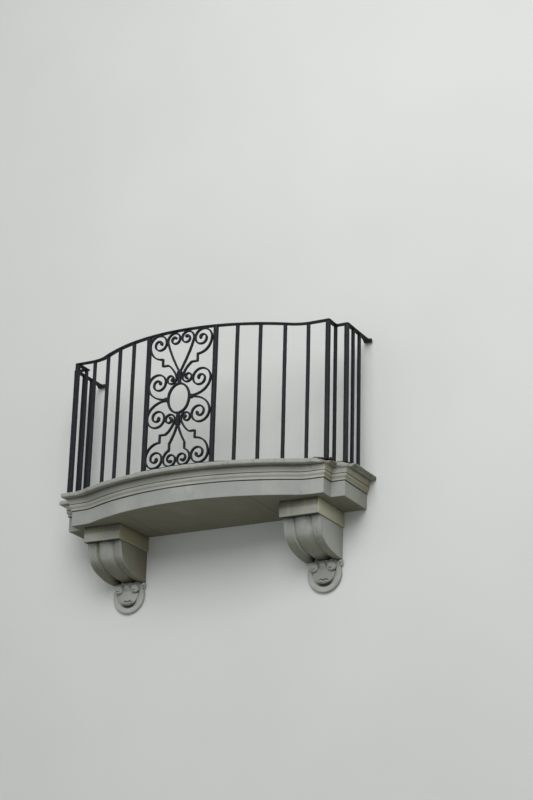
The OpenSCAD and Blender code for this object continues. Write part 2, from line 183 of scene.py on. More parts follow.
class Graph:
    """The node tree of one material."""

    def __init__(self, name: str) -> None:
        """Makes an empty material.

        Args:
            name: the material's name.
        """
        self.material = bpy.data.materials.new(name)
        self.material.use_nodes = True
        self.tree = self.material.node_tree
        self.tree.nodes.clear()
        self.output = self.tree.nodes.new("ShaderNodeOutputMaterial")
        self.place = self.node("ShaderNodeTexCoord", {}, {}, "Object")
        self.x, self.y, self.z = (
            self.node("ShaderNodeSeparateXYZ", {}, {0: self.place}, i) for i in range(3)
        )
        normal = self.node("ShaderNodeNewGeometry", {}, {}, "Normal")
        self.nx, self.ny, self.nz = (
            self.node("ShaderNodeSeparateXYZ", {}, {0: normal}, i) for i in range(3)
        )

    def node(
        self,
        kind: str,
        settings: dict[str, object],
        values: dict[Union[int, str], object],
        output: Union[int, str] = 0,
    ) -> Socket:
        """Adds a node of any type.

        Args:
            kind: the node's type.
            settings: its properties, set before its sockets.
            values: numbers, colours or links for its input sockets, by index or name.
            output: index or name of the output socket that is wanted.

        Returns:
            That output socket.
        """
        made = self.tree.nodes.new(kind)
        for key, value in settings.items():
            setattr(made, key, value)
        for key, value in values.items():
            self.feed(made.inputs[key], value)
        return Socket(self, made.outputs[output])

    def feed(self, entry: bpy.types.NodeSocket, value: object) -> None:
        """Links a socket to an input, or writes a constant on it.

        Args:
            entry: the input socket.
            value: a Socket, a number, a colour or a vector.
        """
        if isinstance(value, Socket):
            self.tree.links.new(value.socket, entry)
        elif entry.type == "RGBA":
            entry.default_value = (*value[:3], 1.0)
        else:
            entry.default_value = value

    def mix(self, share: Operand, first: Paint, second: Paint) -> Socket:
        """Mixes two colours.

        Args:
            share: how much of the second colour shows.
            first: the colour at share 0.
            second: the colour at share 1.

        Returns:
            The mixed colour.
        """
        return self.node(
            "ShaderNodeMix", {"data_type": "RGBA"}, {0: share, 6: first, 7: second}, 2
        )

    def stretched(self, stretch: Triple) -> Socket:
        """Object coordinates scaled along each axis, for streaks that run one way.

        Args:
            stretch: factor along each axis.

        Returns:
            The vector.
        """
        return self.node(
            "ShaderNodeVectorMath", {"operation": "MULTIPLY"}, {0: self.place, 1: stretch}
        )

    def noise(
        self, scale: float, detail: float = 4.0, rough: float = 0.55, at: Optional[Socket] = None
    ) -> Socket:
        """Fractal noise about 0.5.

        Args:
            scale: waves per metre.
            detail: number of finer octaves.
            rough: strength of the finer octaves.
            at: where to read it, if not at the object coordinates.

        Returns:
            The noise value.
        """
        return self.node(
            "ShaderNodeTexNoise",
            {},
            {"Vector": at or self.place, "Scale": scale, "Detail": detail, "Roughness": rough},
        )

    def cells(self, scale: float, feature: str, at: Optional[Socket] = None) -> Socket:
        """Distance of a Voronoi texture.

        Args:
            scale: cells per metre.
            feature: the texture's feature, such as F1 or DISTANCE_TO_EDGE.
            at: where to read it, if not at the object coordinates.

        Returns:
            The distance.
        """
        return self.node(
            "ShaderNodeTexVoronoi",
            {"feature": feature},
            {"Vector": at or self.place, "Scale": scale},
            "Distance",
        )

    def share(self, name: str) -> Socket:
        """A share from 0 to 1 that a mesh keeps for each of its points."""
        return self.node("ShaderNodeAttribute", {"attribute_name": name}, {}, "Fac")

    def bump(self, height: Operand, strength: float, depth: float) -> Socket:
        """A bumped normal.

        Args:
            height: the height, from 0 to 1.
            strength: strength of the effect.
            depth: what a height of 1 stands for, in metres.

        Returns:
            The normal.
        """
        return self.node(
            "ShaderNodeBump", {}, {"Strength": strength, "Distance": depth, "Height": height}, "Normal"
        )

    def close(self, **values: object) -> bpy.types.Material:
        """Adds the main shader and ends the tree.

        Args:
            values: what goes to the shader's sockets, with _ for each space.

        Returns:
            The finished material.
        """
        surface = self.node(
            "ShaderNodeBsdfPrincipled",
            {},
            {key.replace("_", " "): value for key, value in values.items()},
        )
        self.tree.links.new(surface.socket, self.output.inputs["Surface"])
        return self.material


# Finishes


class Grain(Enum):
    """The way in which brush marks and rain streaks run over a painted surface."""

    LEVEL = (1.0, 1.0, 9.0)
    UPRIGHT = (9.0, 9.0, 1.0)


@dataclass(frozen=True)
class PaintedStone:
    """Old matt masonry paint over render, with stains on some faces, soiling in its joints, painted shade
    in its hollows, recesses and undersides, and painted light on some sides.
    """

    name: str
    grain: Grain
    light: Colour = srgb(157, 160, 155)
    dark: Colour = srgb(142, 145, 141)
    # Side tint of faces turned to the right end: an olive stain, which some finishes make pale to paint the
    # light on those faces.
    algae_and_side_shading: Colour = srgb(117, 116, 92)
    umber: Colour = srgb(114, 104, 86)
    # Underside colour: painted shade with some soiling; blocks also take it above the height head as the
    # slab's painted shadow.
    under: Colour = srgb(93, 91, 70)
    # Near black for soiling, cracks and pits, and for painted shade in hollows and recesses.
    soot_and_shade: Colour = srgb(43, 44, 38)
    # Strengths of the side tint, the brown near the back and the underside colour: each partly stain,
    # partly painted light and shade.
    side_stain_and_shading: float = 0.15
    back_stain_and_shade: float = 0.35
    under_shade_and_stain: float = 0.90
    rain_stain: float = 0.10
    relief: float = 0.0016
    joint: float = 0.0
    # Height above which a block takes the slab's painted shadow; the default lies above everything.
    head: float = 9.0

    def build(self) -> bpy.types.Material:
        """Makes the material.

        Returns:
            The material.
        """
        graph = Graph(self.name)
        cloud = graph.noise(2.6, 5.0, 0.6)
        patch = graph.noise(9.0, 4.0, 0.6)
        brush = graph.noise(26.0, 4.0, 0.65, graph.stretched(self.grain.value))
        fine = graph.noise(420.0, 3.0, 0.6)
        drip = graph.noise(34.0, 3.0, 0.5, graph.stretched((1.0, 1.0, 0.07)))
        wear_and_highlight = graph.share("wear_and_highlight")
        grime_and_shade = graph.share("grime_and_shade")

        coat = graph.mix(cloud.between(0.34, 0.66), self.dark, self.light)
        coat = graph.mix(brush.between(0.42, 0.72, 0.30), coat, self.dark)
        coat = graph.mix(patch.between(0.58, 0.80, 0.14), coat, self.umber)
        coat = self._stain(graph, coat, patch, cloud)
        rain = drip.between(0.5, 0.78) * graph.nz.between(0.5, 0.0)
        coat = graph.mix(rain * self.rain_stain, coat, self.algae_and_side_shading)
        # Lighter where the first share is high: worn edges, and painted highlight on the pendant's lip and
        # in the hollow moulding.
        coat = graph.mix(wear_and_highlight * patch.between(0.35, 0.6, 0.5), coat, self.light)
        # Darker where the second share is high: soiling in joints, and painted shade under the nose, the
        # abacus and the brackets and round the pendants' knobs.
        dirt_and_shade = (grime_and_shade * (0.6 + 0.8 * brush)).between(0.12, 0.95)
        coat = graph.mix(dirt_and_shade, coat, self.soot_and_shade)
        crack = graph.cells(5.2, "DISTANCE_TO_EDGE", self._wander(graph)).between(0.006, 0.0)
        crack = crack * graph.noise(3.1, 2.0).between(0.54, 0.64)
        coat = graph.mix(crack * 0.55, coat, self.soot_and_shade)
        pit = graph.cells(64.0, "F1").between(0.16, 0.06) * patch.between(0.5, 0.62)
        coat = graph.mix(pit * 0.4, coat, self.soot_and_shade)

        height = 0.45 * brush + 0.35 * fine + 0.2 * patch - 0.8 * crack - 0.35 * pit
        if self.joint:
            seam = (abs(graph.x) + 0.012 * cloud).line(self.joint, 0.005) * graph.nz.between(-0.5, -0.9)
            coat = graph.mix(seam * 0.75, coat, self.soot_and_shade)
            height = height - 0.8 * seam
        return graph.close(
            Base_Color=coat,
            Roughness=(0.78 + 0.16 * patch).least(1.0),
            Normal=graph.bump(height, 0.55, self.relief),
        )

    def _stain(self, graph: Graph, coat: Socket, patch: Socket, cloud: Socket) -> Socket:
        """Tints faces by how they face and where they lie: partly stains, partly painted shade on
        undersides, recesses and block tops, and painted light on some right-facing sides.

        Args:
            graph: the tree being built.
            coat: the colour so far.
            patch: noise in patches.
            cloud: broader noise.

        Returns:
            The stained colour.
        """
        sideways = graph.nx.between(0.45, 0.9)
        deep = graph.y.between(-0.33, -0.03)
        below = graph.nz.between(-0.40, -0.97)
        # Painted shade: the wing fronts, set back behind the bow, turn a little darker.
        inner = graph.y.between(-0.43, -0.40) * graph.ny.between(-0.8, -0.95)
        coat = graph.mix(inner * 0.13, coat, self.soot_and_shade)
        # Faces turned to the right end take the side tint: olive stain on the mouldings and the left
        # abacus, painted light on the right abacus and right bracket, painted shade on the left bracket.
        coat = graph.mix(sideways * (0.5 + patch).least(1.0) * self.side_stain_and_shading, coat, self.algae_and_side_shading)
        # Those faces turn brown near the back: partly stain, partly painted shade.
        coat = graph.mix(sideways * deep * (0.45 + cloud).least(1.0) * self.back_stain_and_shade, coat, self.umber)
        # Painted shadow of the slab over a block's top, above the height head.
        high = graph.z.between(self.head - 0.006, self.head + 0.012, 0.60) * (1.0 - sideways)
        coat = graph.mix(high * (0.7 + 0.5 * patch).least(1.0), coat, self.under)
        # Undersides take the underside colour: painted shade with some soiling.
        return graph.mix(below * (0.6 + 0.8 * cloud).least(1.0) * self.under_shade_and_stain, coat, self.under)

    def _wander(self, graph: Graph) -> Socket:
        """Object coordinates pushed about a little, so that cracks wander.

        Args:
            graph: the tree being built.

        Returns:
            The vector.
        """
        push = graph.node(
            "ShaderNodeTexNoise", {}, {"Vector": graph.place, "Scale": 7.0, "Detail": 3.0}, "Color"
        )
        return graph.node(
            "ShaderNodeVectorMath",
            {"operation": "MULTIPLY_ADD"},
            {0: push, 1: (0.22, 0.22, 0.22), 2: graph.place},
        )


@dataclass(frozen=True)
class SlabStone:
    """Weathered slab: pale and chipped along the nose, dirty and mossy on top, with painted shade under the
    nose and on its right-facing ends.
    """

    name: str = "weathered_slab"
    pale: Colour = srgb(152, 154, 149)
    grey: Colour = srgb(137, 140, 134)
    moss_and_shade: Colour = srgb(97, 95, 73)
    damp: Colour = srgb(74, 75, 51)
    soot_and_shade: Colour = srgb(45, 45, 39)
    bare: Colour = srgb(137, 128, 117)
    corner: Pair = (0.985, -0.455)
    edge: float = 0.168

    def build(self) -> bpy.types.Material:
        """Makes the material.

        Returns:
            The material.
        """
        graph = Graph(self.name)
        cloud = graph.noise(4.2, 5.0, 0.6)
        patch = graph.noise(21.0, 5.0, 0.65)
        fine = graph.noise(300.0, 4.0, 0.65)
        drip = graph.noise(46.0, 3.0, 0.5, graph.stretched((1.0, 1.0, 0.12)))
        wear_and_highlight = graph.share("wear_and_highlight")
        grime_and_shade = graph.share("grime_and_shade")

        coat = graph.mix(cloud.between(0.36, 0.64), self.grey, self.pale)
        coat = graph.mix(wear_and_highlight * 0.6, coat, self.pale)
        coat = graph.mix(patch.between(0.60, 0.74, 0.35), coat, self.bare)
        top = graph.nz.between(0.6, 0.97)
        coat = graph.mix(top * (0.25 + 0.9 * patch).between(0.4, 0.9, 0.8), coat, self.moss_and_shade)
        # Undersides take some of the moss colour: moss, and painted shade under the nose.
        under = graph.nz.between(-0.2, -0.85) * 0.45
        coat = graph.mix(under, coat, self.moss_and_shade)
        # Painted shade: faces turned to the right end go dark olive below the top edge, which stays pale.
        away = graph.nx.between(0.35, 0.9) * (graph.z + 0.006 * patch).between(self.edge + 0.006, self.edge)
        coat = graph.mix(away * patch.between(0.15, 0.55, 0.92), coat, self.damp)
        rough = 0.10 * patch + 0.03 * fine
        broken = (graph.x + rough).between(self.corner[0] + 0.05, self.corner[0] + 0.08)
        broken = broken * (graph.y - rough).between(self.corner[1] - 0.05, self.corner[1] - 0.08)
        coat = graph.mix(broken * (0.2 + patch).least(0.85), coat, self.bare)
        coat = graph.mix(drip.between(0.52, 0.7, 0.3), coat, self.moss_and_shade)
        # Darker where the second share is high: soiling on top, and painted shade under the nose.
        coat = graph.mix((grime_and_shade * (0.6 + 0.8 * patch)).between(0.1, 0.9), coat, self.soot_and_shade)
        speck = graph.cells(150.0, "F1").between(0.2, 0.08) * patch.between(0.45, 0.6)
        coat = graph.mix(speck * 0.5, coat, self.soot_and_shade)

        return graph.close(
            Base_Color=coat,
            Roughness=(0.7 + 0.25 * patch).least(1.0),
            Normal=graph.bump(0.6 * patch + 0.4 * fine - 0.3 * speck, 0.6, 0.0018),
        )


class Forging(Enum):
    """How heavily a kind of iron piece was worked: waves of hammer marks per metre and their depth."""

    ROLLED = (26.0, 0.0005)
    DRAWN = (44.0, 0.0008)
    HAMMERED = (70.0, 0.0011)


@dataclass(frozen=True)
class PaintedIron:
    """Blue-black paint on forged iron, dusty where it lies level, brown at its feet and joints."""

    name: str
    forging: Forging
    paint: Colour = srgb(24, 30, 35)
    worn: Colour = srgb(42, 50, 55)
    dust: Colour = srgb(64, 64, 58)
    rust: Colour = srgb(56, 41, 33)
    scale: Colour = srgb(22, 21, 21)

    def build(self) -> bpy.types.Material:
        """Makes the material.

        Returns:
            The material.
        """
        graph = Graph(self.name)
        waves, depth = self.forging.value
        cloud = graph.noise(7.0, 4.0, 0.6)
        mark = graph.noise(waves, 3.0, 0.5)
        fine = graph.noise(520.0, 3.0, 0.6)
        wear_and_highlight = graph.share("wear_and_highlight")
        grime_and_shade = graph.share("grime_and_shade")

        coat = graph.mix(cloud.between(0.35, 0.68, 0.55), self.paint, self.scale)
        coat = graph.mix(wear_and_highlight * mark.between(0.4, 0.62, 0.7), coat, self.worn)
        level = graph.nz.between(0.55, 0.95)
        coat = graph.mix(level * (0.2 + mark).between(0.4, 0.85, 0.55), coat, self.dust)
        rusty = (grime_and_shade * 0.55 + mark * 0.75).between(0.62, 0.86)
        coat = graph.mix(rusty * 0.6, coat, self.rust)
        flake = graph.cells(95.0, "F1").between(0.18, 0.07) * cloud.between(0.54, 0.66)
        coat = graph.mix(flake * 0.55, coat, self.rust)

        return graph.close(
            Base_Color=coat,
            Roughness=(0.46 + 0.3 * mark + 0.25 * rusty).least(0.95),
            Specular_IOR_Level=0.22,
            Normal=graph.bump(0.7 * mark + 0.3 * fine - 0.3 * flake, 0.7, depth * 1.6),
        )


# Mesh tools


def around(count: int) -> np.ndarray:
    """Angles of evenly spaced points round a full circle."""
    return np.linspace(0.0, 2 * math.pi, count + 1)[:-1]


def at_height(outline: np.ndarray, z: float) -> np.ndarray:
    """Points of a plan outline, all at one height."""
    return np.column_stack([outline, np.full(len(outline), z)])


def spots(x: Numbers, y: Numbers, z: Numbers) -> np.ndarray:
    """Points from their places along the three axes. One number may stand for all of them."""
    return np.stack(np.broadcast_arrays(x, y, z), axis=-1)


def lattice(points: np.ndarray, waves: float, seed: int) -> np.ndarray:
    """Smooth random values between -1 and 1, the same at each run.

    Args:
        points: places, one row each.
        waves: lattice cells per metre.
        seed: picks one of many patterns.

    Returns:
        One value per place.
    """
    q = np.asarray(points, float) * waves + 7.31 * seed
    cell = np.floor(q).astype(np.int64)
    part = q - cell
    part = part * part * (3.0 - 2.0 * part)
    total = np.zeros(len(q))
    for corner in range(8):
        step = np.array([corner & 1, corner >> 1 & 1, corner >> 2 & 1])
        key = (cell + step) @ np.array([73856093, 19349663, 83492791]) + seed * 374761393
        key = (key ^ (key >> 13)) * 1274126177 & 0xFFFFFFFF
        key = (key ^ (key >> 16)) & 0xFFFF
        weight = np.prod(np.where(step == 1, part, 1.0 - part), axis=1)
        total += weight * (key / 32767.5 - 1.0)
    return total


@dataclass(frozen=True)
class Dent:
    """One layer of unevenness that a surface gets along its normals."""

    depth: float
    waves: float
    seed: int
    worn_only: bool = False
    floor: float = -1.0


@dataclass
class Mould:
    """Collects the points and faces of one piece, with two per-point shares for its finish: one for worn
    edges and painted highlight, one for soiling, rust and painted shade.
    """

    points: list[np.ndarray] = field(default_factory=list)
    faces: list[tuple[int, ...]] = field(default_factory=list)
    wear_and_highlight: list[np.ndarray] = field(default_factory=list)
    grime_and_shade: list[np.ndarray] = field(default_factory=list)
    count: int = 0

    def add_points(self, points: np.ndarray, wear_and_highlight: Numbers, grime_and_shade: Numbers) -> int:
        """Adds loose points.

        Args:
            points: their places, one row each.
            wear_and_highlight: their share of worn-edge lightening and painted highlight.
            grime_and_shade: their share of soiling, rust and painted shade.

        Returns:
            Index of the first one.
        """
        start = self.count
        self.points.append(np.asarray(points, float).reshape(-1, 3))
        total = len(self.points[-1])
        self.wear_and_highlight.append(np.broadcast_to(wear_and_highlight, total).astype(float))
        self.grime_and_shade.append(np.broadcast_to(grime_and_shade, total).astype(float))
        self.count += total
        return start

    def add_grid(
        self,
        rows: np.ndarray,
        wear_and_highlight: Numbers,
        grime_and_shade: Numbers,
        round_rows: bool = False,
        round_all: bool = False,
    ) -> np.ndarray:
        """Adds a skin over rows of points.

        Args:
            rows: points by row, column and axis.
            wear_and_highlight: share of worn-edge lightening and painted highlight, one value, one per row
                and column, or anything between.
            grime_and_shade: share of soiling, rust and painted shade, given in the same way.
            round_rows: whether each row closes on itself.
            round_all: whether the last row meets the first.

        Returns:
            Indices of the points by row and column.
        """
        m, n, _ = rows.shape
        start = self.add_points(
            rows.reshape(-1, 3),
            np.broadcast_to(wear_and_highlight, (m, n)).reshape(-1),
            np.broadcast_to(grime_and_shade, (m, n)).reshape(-1),
        )
        index = start + np.arange(m * n).reshape(m, n)
        down = index if not round_all else np.vstack([index, index[:1]])
        across = down if not round_rows else np.hstack([down, down[:, :1]])
        a, b = across[:-1, :-1].ravel(), across[:-1, 1:].ravel()
        c, d = across[1:, 1:].ravel(), across[1:, :-1].ravel()
        self.faces += list(zip(a.tolist(), b.tolist(), c.tolist(), d.tolist()))
        return index

    def add_face(self, loop: np.ndarray) -> None:
        """Closes a loop of point indices with one flat face."""
        self.faces.append(tuple(int(i) for i in loop))

    def add_solid(
        self, rows: Union[list[np.ndarray], np.ndarray], wear_and_highlight: Numbers, grime_and_shade: Numbers
    ) -> None:
        """Adds a skin over closed rows of points, with a flat face over each end.

        Args:
            rows: points by row, column and axis.
            wear_and_highlight: share of worn-edge lightening and painted highlight, as for a grid.
            grime_and_shade: share of soiling, rust and painted shade, as for a grid.
        """
        index = self.add_grid(np.array(rows), wear_and_highlight, grime_and_shade, round_rows=True)
        self.add_face(index[0][::-1])
        self.add_face(index[-1])

    def add_block(self, low: Vector, high: Vector, soft: float) -> None:
        """Adds a block with rounded upright edges and eased ends.

        Args:
            low: its lowest corner.
            high: its highest corner.
            soft: radius of its edges.
        """
        bands = 3
        half_x, half_y = (high[0] - low[0]) / 2, (high[1] - low[1]) / 2
        middle = np.array([(low[0] + high[0]) / 2, (low[1] + high[1]) / 2])
        cut = [(0.0, soft * 0.9), (soft * 0.4, soft * 0.25), (soft, 0.0)]
        tall = high[2] - low[2]
        levels = (
            [(low[2] + up, inset) for up, inset in cut]
            + [(low[2] + soft + (tall - 2 * soft) * i / bands, 0.0) for i in range(1, bands)]
            + [(high[2] - up, inset) for up, inset in reversed(cut)]
        )
        rows = []
        for z, inset in levels:
            rows.append(at_height(soft_square(half_x - inset, half_y - inset, soft * 0.9) + middle, z))
        self.add_solid(rows, wear_and_highlight=0.5, grime_and_shade=0.35)

    def build(
        self,
        node: str,
        work: str,
        material: bpy.types.Material,
        slot: Slot,
        dents: tuple[Dent, ...],
        crease: float = 40.0,
    ) -> None:
        """slot: not used. the record's slot of that finish.
            dents: layers of unevenness.
            crease: angle in degrees above which an edge stays sharp.
        """
        name = f"{node}_{work}"
        mesh = bpy.data.meshes.new(name)
        mesh.from_pydata(np.vstack(self.points).tolist(), [], self.faces)
        mesh.validate()
        mesh.update()
        wear_and_highlight, grime_and_shade = np.concatenate(self.wear_and_highlight), np.concatenate(self.grime_and_shade)
        for dent in dents:
            place = np.zeros(len(mesh.vertices) * 3)
            mesh.vertices.foreach_get("co", place)
            place = place.reshape(-1, 3)
            normal = np.zeros(len(mesh.vertices) * 3, np.float32)
            mesh.vertex_normals.foreach_get("vector", normal)
            depth = lattice(place, dent.waves, dent.seed)
            if dent.floor > -1.0:
                depth = -np.clip((depth - dent.floor) / (1.0 - dent.floor), 0.0, 1.0)
            if dent.worn_only:
                depth = depth * wear_and_highlight
            place = place + normal.reshape(-1, 3) * (depth * dent.depth)[:, None]
            place[:, 1] = np.minimum(place[:, 1], 0.0)
            mesh.vertices.foreach_set("co", place.reshape(-1))
            mesh.update()
        # Stores both shares: worn edges with painted highlight, and soiling, rust and painted shade.
        for key, values in (("wear_and_highlight", wear_and_highlight), ("grime_and_shade", grime_and_shade)):
            made = mesh.attributes.new(key, "FLOAT", "POINT")
            made.data.foreach_set("value", values.astype(np.float32))
        mesh.polygons.foreach_set("use_smooth", [True] * len(mesh.polygons))
        mesh.set_sharp_from_angle(angle=math.radians(crease))
        mesh.materials.append(material)
        piece = bpy.data.objects.new(name, mesh)
        bpy.context.scene.collection.objects.link(piece)
        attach(piece, BODY)
        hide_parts(node)
        LOG.info("%s: %d points, %d faces", name, len(mesh.vertices), len(mesh.polygons))


def arc(centre: Place, radius: float, start: float, end: float, steps: int) -> np.ndarray:
    """Points along an arc round a centre, between two angles in radians."""
    angle = np.linspace(start, end, steps + 1)
    return np.asarray(centre) + radius * np.column_stack([np.cos(angle), np.sin(angle)])


def soft_square(half_x: float, half_y: float, soft: float, steps: int = 2) -> np.ndarray:
    """Closed outline of a rectangle with rounded corners, run anticlockwise.

    Args:
        half_x: half its width.
        half_y: half its depth.
        soft: radius of its corners.
        steps: segments in each corner.

    Returns:
        The points, one row each.
    """
    corners = []
    for turn, (sx, sy) in enumerate(((1, 1), (-1, 1), (-1, -1), (1, -1))):
        centre = (sx * (half_x - soft), sy * (half_y - soft))
        start = turn * math.pi / 2
        corners.append(arc(centre, soft, start, start + math.pi / 2, steps))
    return np.vstack(corners)


# Slab courses

LEAST_SOFT = 0.0008


@dataclass(frozen=True)
class Cut:
    """One level of a moulded course: overhang, height, corner softness, share of worn-edge lightening and
    painted highlight, and share of soiling and painted shade.
    """

    out: float
    z: float
    soft: float = 0.003
    wear_and_highlight: float = 0.0
    grime_and_shade: float = 0.0


@dataclass(frozen=True)
class Plan:
    """Plan outline that the slab's courses and the rails follow."""

    wing_half: float = 1.090
    wing_depth: float = 0.345
    front_half: float = 0.990
    front_depth: float = 0.460
    bow_half: float = 0.916
    bow_depth: float = 0.665
    sweep: float = 0.300
    spacing: float = 0.012

    @property
    def radius(self) -> float:
        """Radius of the bow."""
        rise = self.bow_depth - self.front_depth
        return (self.bow_half**2 + rise**2) / (2 * rise) - self.sweep

    @property
    def turn(self) -> float:
        """Angle at which the bow meets the hollow curve."""
        rise = self.bow_depth - self.front_depth
        return math.atan(self.bow_half / (self.radius + self.sweep - rise))

    def steps(self, length: float) -> int:
        """Number of segments on a stretch of the outline."""
        return max(2, round(length / self.spacing))

    def half(self, out: float, soft: float, start: float) -> np.ndarray:
        """Right half of the outline, from the back to the middle.

        Args:
            out: overhang beyond the plan.
            soft: radius of its outer corners.
            start: distance from the back at which it begins.

        Returns:
            The points, one row each.
        """
        soft = max(soft, LEAST_SOFT)
        wing = np.array([self.wing_half + out, -self.wing_depth - out])
        inner = np.array([self.front_half + out, -self.wing_depth - out])
        front = np.array([self.front_half + out, -self.front_depth - out])
        quarter = math.pi / 2
        parts = [
            self._straight((wing[0], -start), (wing[0], wing[1] + soft), self.wing_depth),
            arc(wing + (-soft, soft), soft, 0.0, -quarter, 4)[1:],
            self._straight(
                (wing[0] - soft, wing[1]),
                (inner[0] + soft, inner[1]),
                self.wing_half - self.front_half,
            )[1:],
            arc(inner + (soft, -soft), soft, quarter, 2 * quarter, 3)[1:],
            self._straight(
                (inner[0], inner[1] - soft),
                (front[0], front[1] + soft),
                self.front_depth - self.wing_depth,
            )[1:],
            arc(front + (-soft, soft), soft, 0.0, -quarter, 4)[1:],
            self._straight(
                (front[0] - soft, front[1]),
                (self.bow_half, front[1]),
                self.front_half - self.bow_half,
            )[1:],
        ]
        hollow = np.array([self.bow_half, -self.front_depth - self.sweep])
        parts.append(
            arc(
                hollow,
                self.sweep - out,
                quarter,
                quarter + self.turn,
                self.steps(self.sweep * self.turn),
            )[1:]
        )
        centre = np.array([0.0, self.radius - self.bow_depth])
        parts.append(
            arc(
                centre,
                self.radius + out,
                self.turn - quarter,
                -quarter,
                self.steps(self.radius * self.turn),
            )[1:]
        )
        return np.vstack(parts)

    def _straight(self, start: Pair, end: Pair, length: float) -> np.ndarray:
        """Points along a straight stretch, as many as its length in the plan asks for."""
        share = np.linspace(0.0, 1.0, self.steps(length) + 1)[:, None]
        return np.asarray(start) * (1 - share) + np.asarray(end) * share

    def ring(self, out: float, soft: float = 0.003, start: float = 0.0) -> np.ndarray:
        """Whole outline, from the right end at the back to the left end.

        Args:
            out: overhang beyond the plan.
            soft: radius of its outer corners.
            start: distance from the back at which it begins and ends.

        Returns:
            The points, one row each.
        """
        right = self.half(out, soft, start)
        left = right[-2::-1] * (-1.0, 1.0)
        return np.vstack([right, left])

    def depth_at(self, x: float, out: float) -> float:
        """Distance from the back of the outline at a place along the front.

        Args:
            x: distance from the middle.
            out: overhang beyond the plan.

        Returns:
            The distance.
        """
        x = abs(x)
        radius, hollow = self.radius + out, self.sweep - out
        if x > self.bow_half:
            return self.front_depth + out
        if x > radius * math.sin(self.turn):
            return self.front_depth + self.sweep - math.sqrt(hollow**2 - (self.bow_half - x) ** 2)
        return self.bow_depth - self.radius + math.sqrt(radius**2 - x * x)


def add_course(
    mould: Mould,
    ring: Callable[[float, float], np.ndarray],
    cuts: list[Cut],
    change: Optional[Callable[[np.ndarray], np.ndarray]] = None,
) -> None:
    """Adds a solid with a flat back, from the outline at each of its levels.

    Args:
        mould: the piece that gets it.
        ring: gives the outline for an overhang and a corner softness.
        cuts: the levels, from the top down.
        change: moves the points, given by row, column and axis, before the skin is made.
    """
    outlines = [ring(cut.out, cut.soft) for cut in cuts]
    rows = np.array([at_height(line, cut.z) for line, cut in zip(outlines, cuts)])
    wear_and_highlight = np.array([[cut.wear_and_highlight] for cut in cuts])
    grime_and_shade = np.array([[cut.grime_and_shade] for cut in cuts])
    index = mould.add_grid(change(rows) if change else rows, wear_and_highlight, grime_and_shade)
    mould.add_face(index[0][::-1])
    mould.add_face(index[-1])
    mould.add_face(np.concatenate([index[:, 0], index[::-1, -1]]))


def quarter_cuts(
    first: Cut, last: Cut, steps: int, hollow: bool, wear_and_highlight: float = 0.0, grime_and_shade: float = 0.0
) -> list[Cut]:
    """Levels of a quarter-round or quarter-hollow between two levels.

    Args:
        first: the upper level.
        last: the lower level.
        steps: number of segments.
        hollow: whether the curve is hollow.
        wear_and_highlight: share of worn-edge lightening and painted highlight on the curve.
        grime_and_shade: share of soiling and painted shade on the curve.

    Returns:
        The levels, with both ends.
    """
    made = []
    for i in range(steps + 1):
        angle = math.pi / 2 * i / steps
        if hollow:
            across, down = math.sin(angle), 1 - math.cos(angle)
            out = first.out + (last.out - first.out) * across
            z = first.z + (last.z - first.z) * down
        else:
            out = first.out + (last.out - first.out) * (1 - math.cos(angle))
            z = first.z + (last.z - first.z) * math.sin(angle)
        made.append(Cut(out, z, first.soft, wear_and_highlight, grime_and_shade))
    return made


